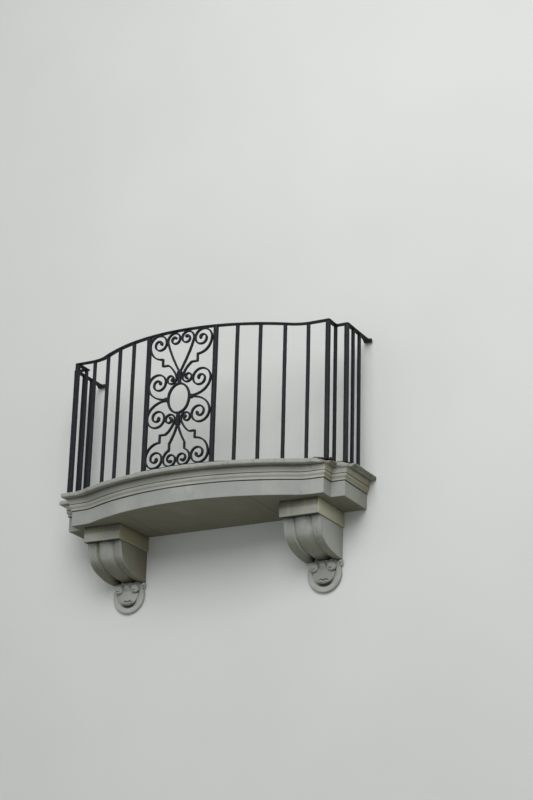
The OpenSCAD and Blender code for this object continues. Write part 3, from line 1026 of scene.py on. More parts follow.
@dataclass(frozen=True)
class Slab:
    """The bowed slab: top slab, hollow moulding, moulded band and plain fascia."""

    plan: Plan = Plan()
    top_plan: Plan = Plan(
        wing_half=1.101,
        wing_depth=0.330,
        front_depth=0.478,
        bow_half=0.950,
        bow_depth=0.690,
        spacing=0.008,
    )
    z_face: float = 0.053
    z_band: float = 0.102
    z_cove: float = 0.141
    z_top: float = 0.176
    nose_out: float = 0.058
    broken: float = 0.080
    break_slant: Pair = (1.0, -0.9)
    break_rough: float = 0.007
    break_reach: float = 0.08
    sunk_share: float = 0.60
    sunk_most: float = 0.032
    crumbs: int = 15
    crumb_steps: int = 8
    crumbs_from: Pair = (-0.052, -0.022)
    crumbs_run: Pair = (0.098, 0.056)

    def build(
        self,
        plain: bpy.types.Material,
        moulded: bpy.types.Material,
        stone: bpy.types.Material,
    ) -> None:
        """Makes the four courses.

        Args:
            plain: finish of the fascia.
            moulded: finish of the two moulded courses.
            stone: finish of the top slab.
        """
        self._top(stone)
        self._cove(moulded)
        self._band(moulded)
        self._fascia(plain)

    def _top(self, stone: bpy.types.Material) -> None:
        """Makes the top slab with its rounded nose, chipped and broken at one corner.

        Args:
            stone: its finish.
        """
        n, top, low = self.nose_out, self.z_top, self.z_cove
        cuts = [
            Cut(n - 0.075, top, 0.004),
            Cut(n - 0.048, top, 0.006, 0.1, 0.35),
            Cut(n - 0.020, top, 0.008, 0.1, 0.15),
            Cut(n - 0.0085, top - 0.0004, 0.010, 0.4),
            Cut(n - 0.0038, top - 0.0018, 0.012, 0.8),
            Cut(n - 0.0014, top - 0.0048, 0.012, 1.0),
            Cut(n - 0.0004, top - 0.0098, 0.012, 1.0),
            Cut(n, top - 0.0160, 0.012, 1.0),
            Cut(n - 0.0004, top - 0.0222, 0.012, 1.0),
            Cut(n - 0.0015, top - 0.0275, 0.012, 0.9),
            Cut(n - 0.0040, top - 0.0308, 0.010, 0.6),
            # The nose's underside darkens towards the back: painted shade under the nose.
            Cut(n - 0.0085, top - 0.0330, 0.009, 0.3, 0.05),
            Cut(n - 0.0150, top - 0.0342, 0.007, 0.0, 0.12),
            Cut(n - 0.0220, low + 0.0004, 0.005, 0.0, 0.22),
            Cut(n - 0.0290, low, 0.004, 0.0, 0.45),
            Cut(n - 0.0700, low, 0.003, 0.0, 0.7),
        ]
        mould = Mould()
        add_course(mould, self.top_plan.ring, cuts, self._break_corner)
        self._crumbs(mould)
        dents = (
            Dent(0.0022, 5.0, 3, worn_only=True),
            Dent(0.0016, 30.0, 5, worn_only=True),
            Dent(0.0080, 22.0, 8, worn_only=True, floor=0.36),
            Dent(0.0045, 70.0, 9, worn_only=True, floor=0.45),
        )
        mould.build("top_slab", "weathered", stone, Slot.SLAB_STONE, dents, 55.0)

    def _break_corner(self, rows: np.ndarray) -> np.ndarray:
        """Breaks the right front corner of the nose off along a rough slanting face.

        Args:
            rows: the slab's points by row, column and axis.

        Returns:
            The moved points.
        """
        flat = rows.reshape(-1, 3).copy()
        corner = (
            self.top_plan.front_half + self.nose_out,
            -self.top_plan.front_depth - self.nose_out,
        )
        slant = np.array(self.break_slant)
        slant /= np.linalg.norm(slant)
        past = (flat[:, :2] - corner) @ slant + self.broken
        past += self.break_rough * lattice(flat, 38.0, 14) + 0.15 * (self.z_top - flat[:, 2])
        near = flat[:, 0] > self.top_plan.front_half - self.break_reach
        lost = np.where(near, np.maximum(past, 0.0), 0.0)
        flat[:, :2] -= np.outer(0.5 * lost, slant)
        tall = (flat[:, 2] - self.z_cove) / (self.z_top - self.z_cove)
        flat[:, 2] -= np.minimum(self.sunk_share * lost, self.sunk_most) * tall
        return flat.reshape(rows.shape)

    def _crumbs(self, mould: Mould) -> None:
        """Adds the dark crumbs that lie on the slab behind the broken corner.

        Args:
            mould: the top slab.
        """
        from_x = self.top_plan.front_half + self.crumbs_from[0]
        from_y = -self.top_plan.front_depth + self.crumbs_from[1]
        for k in range(self.crumbs):
            turn = 2.4 * k
            along = (k + 0.5) / self.crumbs
            size = 0.008 + 0.008 * abs(math.sin(3.7 * k + 0.4))
            x = from_x + self.crumbs_run[0] * along + 0.005 * math.sin(5.1 * k)
            y = from_y + self.crumbs_run[1] * along + 0.008 * math.cos(turn)
            angle = around(self.crumb_steps) + turn
            rows = []
            for share in (0.0, 0.45, 0.8, 1.0):
                reach = size * (1.25 - 0.95 * share**2) * (1 + 0.25 * np.sin(2 * angle + k))
                height = self.z_top - 0.001 + 0.9 * size * share
                flat = np.column_stack([x + reach * np.cos(angle), y + reach * np.sin(angle)])
                rows.append(at_height(flat, height))
            mould.add_solid(rows, wear_and_highlight=0.0, grime_and_shade=1.0)

    def _cove(self, paint: bpy.types.Material) -> None:
        """Makes the hollow moulding under the nose.

        Args:
            paint: its finish.
        """
        foot = Cut(0.0185, self.z_band + 0.0045, 0.004)
        head = Cut(0.031, self.z_cove - 0.0045, 0.005)
        cuts = [
            Cut(-0.02, self.z_cove, 0.003, 0.0, 1.0),
            # The head under the nose darkens: painted shade.
            Cut(0.0270, self.z_cove, 0.005, 0.0, 0.5),
            Cut(0.0315, self.z_cove - 0.0020, 0.005, 0.0, 0.15),
            # The hollow is lightened a little: painted light.
            *quarter_cuts(head, foot, 10, hollow=True, wear_and_highlight=0.30),
            Cut(0.0188, self.z_band + 0.0020, 0.004, 0.3, 0.1),
            Cut(0.0170, self.z_band + 0.0007, 0.003, 0.0, 0.45),
            Cut(0.0105, self.z_band, 0.002, 0.0, 0.7),
            Cut(-0.02, self.z_band, 0.002, 0.0, 1.0),
        ]
        mould = Mould()
        add_course(mould, self.plan.ring, cuts)
        dents = (Dent(0.0012, 9.0, 11), Dent(0.0008, 60.0, 12))
        mould.build("cove_moulding", "painted", paint, Slot.PAINTED_STONE, dents)

    def _band(self, paint: bpy.types.Material) -> None:
        """Makes the moulded band: a round head that swings back to a thin fillet at its foot.

        Args:
            paint: its finish.
        """
        top, low = self.z_band, self.z_face
        swing = 12
        ogee = []
        for i in range(swing + 1):
            share = i / swing
            out = 0.0068 + 0.0104 * (0.5 + 0.5 * math.cos(math.pi * share**1.1))
            ogee.append(Cut(out, top - 0.0130 - 0.0220 * share, 0.005, 0.3 * (1 - share), 0.05 * share))
        cuts = [
            Cut(-0.02, top, 0.002, 0.0, 1.0),
            Cut(0.0105, top, 0.003, 0.0, 0.7),
            Cut(0.0140, top - 0.0008, 0.004, 0.1, 0.35),
            Cut(0.0162, top - 0.0030, 0.005, 0.5, 0.0),
            Cut(0.0172, top - 0.0070, 0.005, 0.6, 0.0),
            *ogee,
            Cut(0.0070, low + 0.0112, 0.004, 0.0, 0.05),
            Cut(0.0088, low + 0.0098, 0.004, 0.0, 0.0),
            Cut(0.0096, low + 0.0080, 0.004, 0.0, 0.0),
            Cut(0.0096, low + 0.0052, 0.004, 0.0, 0.0),
            Cut(0.0086, low + 0.0030, 0.004, 0.0, 0.05),
            Cut(0.0050, low + 0.0016, 0.003, 0.0, 0.45),
            Cut(-0.0020, low, 0.002, 0.0, 0.9),
            Cut(-0.02, low, 0.002, 0.0, 1.0),
        ]
        mould = Mould()
        add_course(mould, self.plan.ring, cuts)
        dents = (Dent(0.0010, 8.0, 21), Dent(0.0007, 55.0, 22))
        mould.build("lower_band", "painted", paint, Slot.PAINTED_STONE, dents)

    def _fascia(self, paint: bpy.types.Material) -> None:
        """Makes the plain fascia and the soffit.

        Args:
            paint: its finish.
        """
        top, low = self.z_face, -self.z_face
        cuts = [
            Cut(-0.02, top, 0.002, 0.0, 1.0),
            Cut(-0.0040, top, 0.003, 0.0, 1.0),
            Cut(-0.0010, top - 0.0012, 0.004, 0.2, 0.3),
            Cut(0.0, top - 0.0040, 0.004, 0.3, 0.0),
            Cut(0.0, top - 0.0120, 0.004, 0.0, 0.03),
            *(Cut(0.0, top - 0.012 - 0.0115 * i, 0.004) for i in range(1, 8)),
            Cut(0.0, low + 0.0060, 0.004, 0.5, 0.0),
            Cut(-0.0008, low + 0.0022, 0.004, 0.8, 0.0),
            Cut(-0.0030, low + 0.0004, 0.004, 0.4, 0.1),
            Cut(-0.0070, low, 0.003, 0.0, 0.15),
            Cut(-0.0300, low, 0.003, 0.0, 0.0),
        ]
        mould = Mould()
        add_course(mould, self.plan.ring, cuts)
        dents = (Dent(0.0013, 6.0, 31), Dent(0.0006, 48.0, 32))
        mould.build("fascia_course", "painted", paint, Slot.PAINTED_STONE, dents)


# Brackets


@dataclass(frozen=True)
class Bracket:
    """A rolled bracket and the abacus above it."""

    side: Side
    x: float = 0.775
    width: float = 0.295
    depth: float = 0.395
    z_abacus: float = -0.163
    block_h: float = 0.110
    body_in: float = 0.010
    body_back: float = 0.042
    z_curl: float = -0.235
    curl: float = 0.148
    band: float = 0.026
    groove_w: float = 0.046
    groove_d: float = 0.028
    reeds: int = 4
    reed_d: float = 0.0026
    lean: float = 0.018

    @property
    def middle(self) -> float:
        """Place of the bracket's middle along the front."""
        return self.side.value * self.x

    @property
    def z_tip(self) -> float:
        """Height of the bracket's foot."""
        return self.z_curl - self.curl

    def build(self, block: bpy.types.Material, carved: bpy.types.Material) -> None:
        """Makes the abacus in the block's finish and the body in the carved one's."""
        self._abacus(block)
        self._body(carved)

    def _ring(self, out: float, soft: float) -> np.ndarray:
        """Three sides of the abacus in plan, from the back round to the back.

        Args:
            out: overhang beyond the block.
            soft: radius of its corners.

        Returns:
            The points, one row each.
        """
        half, deep = self.width / 2 + out, self.depth + out
        soft = max(soft, LEAST_SOFT)
        quarter = math.pi / 2
        side = np.linspace(0.0, deep - soft, 26)
        front = np.linspace(half - soft, -half + soft, 20)[1:-1]
        parts = [
            np.column_stack([np.full(26, half), -side]),
            arc((half - soft, -deep + soft), soft, 0.0, -quarter, 4)[1:],
            np.column_stack([front, np.full(18, -deep)]),
            arc((-half + soft, -deep + soft), soft, -quarter, -2 * quarter, 4),
            np.column_stack([np.full(26, -half), -side[::-1]])[1:],
        ]
        return np.vstack(parts) + (self.middle, 0.0)

    def _abacus(self, paint: bpy.types.Material) -> None:
        """Makes the abacus block, worn along its lower edge.

        Args:
            paint: its finish.
        """
        low = self.z_abacus
        top = low + self.block_h
        cuts = [
            # The top of the block darkens, fading down its faces: the slab's painted shadow.
            Cut(-0.010, top, 0.003, 0.0, 0.9),
            Cut(-0.001, top, 0.004, 0.0, 0.8),
            Cut(0.0, top - 0.004, 0.005, 0.0, 0.6),
            *(Cut(0.0, top - 0.004 - 0.014 * i, 0.006, 0.0, 0.5 - 0.08 * i) for i in range(1, 7)),
            Cut(0.0, low + 0.009, 0.006, 0.4, 0.0),
            Cut(-0.0004, low + 0.005, 0.006, 0.9, 0.0),
            Cut(-0.0016, low + 0.002, 0.006, 1.0, 0.0),
            # The underside darkens towards the back: painted shade under the block.
            Cut(-0.0040, low + 0.0004, 0.005, 0.4, 0.3),
            Cut(-0.0080, low, 0.004, 0.0, 0.7),
            Cut(-0.0160, low, 0.004, 0.0, 0.9),
        ]
        mould = Mould()
        add_course(mould, self._ring, cuts)
        dents = (Dent(0.0016, 9.0, 41), Dent(0.0008, 52.0, 42), Dent(0.0040, 30.0, 43, True, 0.4))
        mould.build(f"abacus_{self.side.word}", "painted", paint, Slot.PAINTED_STONE, dents)

    def _draw_in(self) -> tuple[np.ndarray, np.ndarray, np.ndarray]:
        """Section of the body's front: two reeded bands beside a roll.

        Returns:
            Places across the width, how far the front is drawn in there, and the share of painted shade
            there.
        """
        half = self.width / 2 - self.body_in
        roll = half - self.band - self.groove_w
        crown = (roll**2 + self.groove_d**2) / (2 * self.groove_d)
        band = [(0.0, 0.0022, 0.1), (0.0015, 0.0006, 0.0), (0.004, 0.0, 0.0)]
        band += [(0.014, 0.0, 0.0), (self.band - 0.004, 0.0, 0.0)]
        for k in range(self.reeds):
            # Painted shade in the reeds' grooves.
            for ahead, sunk, dirt_and_shade in ((0.0, 0.0, 0.1), (0.0014, 1.0, 0.55), (0.0032, 0.0, 0.05)):
                share = k / self.reeds + ahead / self.groove_w
                deep = 0.35 * self.groove_d * share**1.3 + self.reed_d * sunk
                band.append((self.band + self.groove_w * share, deep, dirt_and_shade))
        band += [(self.band + self.groove_w * 0.88, self.groove_d * 0.38, 0.0)]
        band += [(self.band + self.groove_w * 0.95, self.groove_d * 0.80, 0.15)]
        left = [(-half + a, deep, dirt_and_shade) for a, deep, dirt_and_shade in band]
        turn = math.asin(roll / crown)
        middle = [
            # The roll darkens at its edges, where it sinks into the grooves: painted shade.
            (crown * math.sin(a), crown * (1 - math.cos(a)), 0.2 * (abs(a) / turn) ** 8)
            for a in np.linspace(-turn, turn, 25)
        ]
        right = [(-a, deep, dirt_and_shade) for a, deep, dirt_and_shade in reversed(left)]
        across, drawn, grime_and_shade = (np.array(v) for v in zip(*left, *middle, *right))
        return across, drawn, grime_and_shade

    def _body(self, paint: bpy.types.Material) -> None:
        """Makes the body, whose front drops straight and then rolls back to its foot.

        Args:
            paint: its finish.
        """
        across, drawn, grime_and_shade = self._draw_in()
        deep = self.depth - self.body_back
        rows, dirt_and_shade = [], []
        straight, curled = 8, 30
        stretch = [
            (drawn - deep, np.full(len(across), z), 0.0)
            for z in np.linspace(self.z_abacus, self.z_curl, straight + 1)[:-1]
        ]
        for i in range(curled + 1):
            cosine, sine = math.cos(math.pi / 2 * i / curled), math.sin(math.pi / 2 * i / curled)
            height = self.z_curl - (self.curl - drawn) * sine
            stretch.append(((drawn - deep) * cosine, height, sine))
        for step, (y, height, sine) in enumerate(stretch):
            down = (self.z_abacus - height) / (self.z_abacus - self.z_tip)
            y = np.minimum(y + self.lean * np.sin(math.pi * np.clip(down, 0.0, 1.0)), 0.0)
            rows.append(np.column_stack([self.middle + across, y, height]))
            # Painted shadow: at the foot above the pendant, strongest over the roll, and under the abacus
            # at the head.
            foot = max(0.0, (sine - 0.88) / 0.12)
            head = max(0.0, 1 - step / 1.5) * 0.35
            # The right edge darkens towards the foot.
            edge = 0.5 * foot**0.25 * (across > across.max() - 0.003)
            roll = 0.35 + 0.65 * (np.abs(across) < 0.085)
            dirt_and_shade.append(np.clip(grime_and_shade * 0.8 + 0.8 * foot**1.5 * roll + head + edge, 0.0, 1.0))
        mould = Mould()
        wear_and_highlight = np.where(np.abs(np.abs(across) - across.max()) < 0.006, 0.7, 0.05)
        index = mould.add_grid(np.array(rows)[:, ::-1], wear_and_highlight[None, ::-1], np.array(dirt_and_shade)[:, ::-1])
        self._cheek(mould, index[:, 0], 1)
        self._cheek(mould, index[:, -1], -1)
        self._close(mould, rows[0], rows[-1])
        dents = (Dent(0.0012, 11.0, 51), Dent(0.0007, 60.0, 52))
        mould.build(f"bracket_{self.side.word}", "painted", paint, Slot.PAINTED_STONE, dents)

    def _close(self, mould: Mould, head: np.ndarray, foot: np.ndarray) -> None:
        """Closes the body under the abacus and along its flat back.

        Args:
            mould: the piece.
            head: the front's points just under the abacus, from left to right.
            foot: the front's points at the body's foot, from left to right.
        """
        back = np.array([[head[-1, 0], 0.0, head[0, 2]], [head[0, 0], 0.0, head[0, 2]]])
        for loop in (np.vstack([head, back]), np.vstack([foot, back])[::-1]):
            start = mould.add_points(loop, 0.0, 0.5)
            mould.add_face(start + np.arange(len(loop)))

    def _cheek(self, mould: Mould, rim: np.ndarray, way: int) -> None:
        """Adds one flat side of the body between its front and its back.

        Args:
            mould: the piece.
            rim: indices of the front's edge points, from the top down.
            way: 1 on the right side, -1 on the left.
        """
        edge = np.vstack(mould.points)[rim]
        shares = np.linspace(1.0, 0.0, 16)[1:]
        rows = [edge]
        for share in shares:
            row = edge.copy()
            row[:, 1] *= share
            rows.append(row)
        grid = np.array(rows)
        side = grid[::-1] if way > 0 else grid
        fade = np.linspace(0.0, 0.35, len(rows))
        fade = fade[::-1] if way > 0 else fade
        mould.add_grid(side, 0.0, fade[:, None])


@dataclass(frozen=True)
class Pendant:
    """The round pendant under a bracket: a broad ring round a domed boss with three knobs."""

    side: Side
    x: float = 0.775
    shift: float = 0.012
    z: float = -0.476
    radius: float = 0.126
    lap: float = 0.033
    plate: float = 0.014
    ring_w: float = 0.037
    ring_h: float = 0.013
    boss_r: float = 0.0835
    boss_up: float = 0.0145
    boss_edge: float = 0.014
    boss_h: float = 0.028
    lip_z: float = -0.0600
    lip_half: float = 0.043
    lip_wave: float = 0.0055
    lip_span: float = 0.0562
    lip_turn: float = 1.98
    lip_drop: float = 0.010
    lip_w: float = 0.0048
    lip_h: float = 0.0120
    line_w: float = 0.0032
    line_d: float = 0.0065
    knob_x: float = 0.0642
    knob_z: float = 0.0439
    knob_r: float = 0.033
    small_z: float = 0.0516
    small_r: float = 0.026
    round_steps: int = 96
    knob_steps: int = 32
    curl_steps: int = 10
    curl_turns: float = 1.35
    curl_reach: Pair = (0.0185, 0.0065)
    curl_thick: Pair = (0.0072, 0.0050)
    curl_z: float = 0.064

    @property
    def knobs(self) -> tuple[Triple, ...]:
        """Place across, height and radius of each knob.

        Returns:
            These three values for each.
        """
        return (
            (-self.knob_x, self.knob_z, self.knob_r),
            (self.knob_x, self.knob_z, self.knob_r),
            (0.0, self.small_z, self.small_r),
        )

    def build(self, paint: bpy.types.Material) -> None:
        """Makes the pendant.

        Args:
            paint: its finish.
        """
        mould = Mould()
        self._ring(mould)
        self._boss(mould)
        for x, z, radius in self.knobs:
            self._knob(mould, x, z, radius)
        self._curl(mould)
        dents = (Dent(0.0009, 24.0, 61), Dent(0.0006, 80.0, 62))
        node = f"pendant_{self.side.word}"
        mould.build(node, "carved", paint, Slot.PAINTED_STONE, dents, 50.0)

    def _place(self, x: Numbers, out: Numbers, z: Numbers) -> np.ndarray:
        """Points in the part's frame from places in the pendant's own plane.

        Args:
            x: places across the pendant.
            out: distances in front of its back.
            z: heights above its middle.

        Returns:
            The points, with a last axis of three.
        """
        return spots(self.side.value * self.x + self.shift + x, -out, self.z + z)

    def _ring(self, mould: Mould) -> None:
        """Adds the back plate and its broad round-faced ring, cut off level at the top.

        Args:
            mould: the piece.
        """
        r, p, w = self.radius, self.plate, self.ring_w
        profile = [
            (r - 0.001, 0.0, 0.5, 0.0),
            (r, 0.003, 0.5, 0.0),
            (r, p - 0.003, 0.3, 0.0),
            *(
                (
                    r - w / 2 + w / 2 * math.cos(a),
                    p - 0.001 + self.ring_h * math.sin(a) ** 0.45,
                    0.0,
                    0.0,
                )
                for a in np.linspace(0.0, math.pi, 15)
            ),
            (r - w - 0.0006, p - 0.002, 0.25, 0.003),
            (r - w - 0.0030, p + 0.004, 0.45, 0.010),
            (self.boss_r * 1.10, p + 0.004, 0.65, 0.013),
            (self.boss_r * 0.7, p + 0.004, 1.0, 0.013),
        ]
        top = self.radius - self.lap
        angle = around(self.round_steps)
        # Painted shade: the ring's outer edge and its inner edge round the boss darken, mostly round the
        # bottom.
        below = np.clip(-0.6 - 1.7 * np.sin(angle), 0.0, 1.0)
        rows = [
            self._place(
                radius * np.cos(angle), out - sunk * below, np.minimum(radius * np.sin(angle), top)
            )
            for radius, out, _, sunk in profile
        ]
        grime_and_shade = np.array([dirt_and_shade * np.maximum(0.9 * below, 0.15) for _, _, dirt_and_shade, _ in profile])
        index = mould.add_grid(np.array(rows), 0.8, grime_and_shade, round_rows=True)
        mould.add_face(index[-1])
        mould.add_face(index[0][::-1])

    def _boss(self, mould: Mould) -> None:
        """Adds the domed boss with its carved lip.

        Args:
            mould: the piece.
        """
        r, p = self.boss_r, self.plate
        angle = around(self.round_steps)
        sides = [(1.0, -0.009), (1.003, self.boss_edge * 0.4), (0.995, self.boss_edge * 0.8)]
        rows = [
            self._place(r * a * np.cos(angle), p + out, self.boss_up + r * a * np.sin(angle))
            for a, out in sides
        ]
        # Painted shade under the boss's lower edge.
        below = np.clip(-0.1 - 1.4 * np.sin(angle), 0.1, 1.0)
        dirt_and_shade = [0.9 * below, 0.5 * below, 0.3 * below]
        wear_and_highlight = [np.zeros(self.round_steps)] * 3
        for share in np.linspace(0.975, 0.02, 34):
            x, z = r * share * np.cos(angle), r * share * np.sin(angle)
            # The carving brings painted shade and the lip's painted highlight.
            out, grime_and_shade, lip_highlight = self._relief(x, z, share)
            rows.append(self._place(x, p + out, self.boss_up + z))
            dirt_and_shade.append(grime_and_shade)
            wear_and_highlight.append(lip_highlight)
        index = mould.add_grid(np.array(rows), np.array(wear_and_highlight), np.array(dirt_and_shade), round_rows=True)
        mould.add_face(index[-1])

    def _relief(
        self, x: np.ndarray, z: np.ndarray, share: float
    ) -> tuple[np.ndarray, np.ndarray, np.ndarray]:
        """Carving of the boss: a double-arched lip under a sunk line, with painted shade in the line, round
        the boss's bottom and under each knob, and a painted highlight on the lip.

        Args:
            x: places across the boss.
            z: heights above its middle.
            share: their distance from the middle as a share of its radius.

        Returns:
            Distance in front of the back plate, the painted shade, and the painted highlight on the lip.
        """
        dome = self.boss_edge + (self.boss_h - self.boss_edge) * (1 - share**3)
        turn = 2 * math.pi * np.abs(x) / self.lip_span - self.lip_turn
        arch = self.lip_z + self.lip_wave * np.cos(turn)
        fade = np.clip(5.0 * (1 - np.abs(x) / self.lip_half), 0.0, 1.0)
        line = fade * np.exp(-((z - arch) ** 2) / (2 * self.line_w**2))
        lip = fade * np.exp(-((z - arch + self.lip_drop) ** 2) / (2 * self.lip_w**2))
        bridge = 0.004 * np.exp(-(x**2) / (2 * 0.010**2) - (z - 0.006) ** 2 / (2 * 0.014**2))
        # Painted shade round the bottom of the boss and under each knob, and in the sunk line.
        foot = np.clip((share - 0.86) / 0.12, 0.0, 1.0) * np.clip(-z / 0.06 - 0.3, 0.0, 1.0)
        shade = np.maximum(line, 0.5 * foot)
        for knob, level, radius in self.knobs:
            away = np.hypot(x - knob, z - level)
            low = np.clip((level - z) / radius + 0.2, 0.0, 1.0)
            shade = np.maximum(shade, 1.2 * low * np.exp(-(((away - radius) / 0.007) ** 2)))
        shade = np.minimum(shade, 1.0)
        return dome - self.line_d * line + self.lip_h * lip + bridge, shade, 2.0 * lip

    def _knob(self, mould: Mould, x: float, z: float, r: float) -> None:
        """Adds one knob: a short stem and a dome with a sunk ring round its eye.

        Args:
            mould: the piece.
            x: its place across the pendant.
            z: its height above the pendant's middle.
            r: its radius.
        """
        base = self.plate + 0.008
        profile = [
            (1.00, -0.20, 1.0),
            (1.00, 0.22, 0.9),
            (1.01, 0.48, 0.80),
            (0.97, 0.76, 0.35),
            (0.86, 1.02, 0.0),
            (0.70, 1.22, 0.0),
            (0.58, 1.29, 0.1),
            (0.51, 1.22, 0.8),
            (0.44, 1.22, 0.8),
            (0.36, 1.33, 0.1),
            (0.20, 1.42, 0.0),
            (0.04, 1.45, 0.0),
        ]
        angle = around(self.knob_steps)
        # Painted shade round the knob's base and in the sunk ring round its eye, strongest below.
        below = 0.15 + 0.85 * np.clip(-1.5 * np.sin(angle) - 0.1, 0.0, 1.0)
        rows = [
            self._place(x + r * a * np.cos(angle), base + r * b, z + r * a * np.sin(angle))
            for a, b, _ in profile
        ]
        grime_and_shade = np.array([dirt_and_shade * below for _, _, dirt_and_shade in profile])
        index = mould.add_grid(np.array(rows), 0.6, grime_and_shade, round_rows=True)
        mould.add_face(index[-1])

    def _curl(self, mould: Mould) -> None:
        """Adds the small curl that ends the bracket's foot at the pendant's right shoulder.

        Args:
            mould: the piece.
        """
        ring = around(self.curl_steps)
        rows = []
        for share in np.linspace(0.0, 1.0, 19):
            turn = 0.6 + self.curl_turns * 2 * math.pi * share
            reach = self.curl_reach[0] + (self.curl_reach[1] - self.curl_reach[0]) * share
            thick = self.curl_thick[0] + (self.curl_thick[1] - self.curl_thick[0]) * share
            across = reach + thick * np.cos(ring)
            out = 0.012 + thick * (1.3 + np.sin(ring))
            x = self.radius - 0.004 + across * math.cos(turn)
            rows.append(self._place(x, out, self.curl_z + across * math.sin(turn)))
        index = mould.add_grid(np.array(rows), 0.9, 0.0, round_rows=True)
        mould.add_face(index[0])
        mould.add_face(index[-1][::-1])


# Railing


@dataclass(frozen=True)
class Bar:
    """An upright square bar with eased edges, a little uneven as forged bars are."""

    x: float
    depth: float
    size: float
    seed: int
    low: float = 0.184
    high: float = 1.166
    soft: float = 0.0022
    rows: int = 36
    sway: Pair = (0.0011, 0.0009)
    girth: float = 0.02

    def add(self, mould: Mould) -> None:
        """Adds the bar.

        Args:
            mould: the piece that gets it.
        """
        half = self.size / 2
        ring = soft_square(half, half, self.soft)
        heights = np.linspace(self.low, self.high, self.rows)
        drift = spots(self.seed, 0.0, heights)
        sway_x = lattice(drift, 2.2, 71) * self.sway[0]
        sway_y = lattice(drift, 2.6, 72) * self.sway[1]
        girth = 1.0 + lattice(drift, 9.0, 73) * self.girth
        rows, dirt_and_shade = [], []
        for z, dx, dy, wide in zip(heights, sway_x, sway_y, girth):
            share = (z - self.low) / (self.high - self.low)
            ends = min(1.0, 6 * share * (1 - share))
            rows.append(
                spots(
                    ring[:, 0] * wide + self.x + dx * ends,
                    ring[:, 1] * wide - self.depth + dy * ends,
                    z,
                )
            )
            dirt_and_shade.append(0.9 * math.exp(-(z - self.low) / 0.03) + 0.4 * math.exp(-(self.high - z) / 0.02))
        mould.add_solid(rows, 0.6, np.array(dirt_and_shade)[:, None])


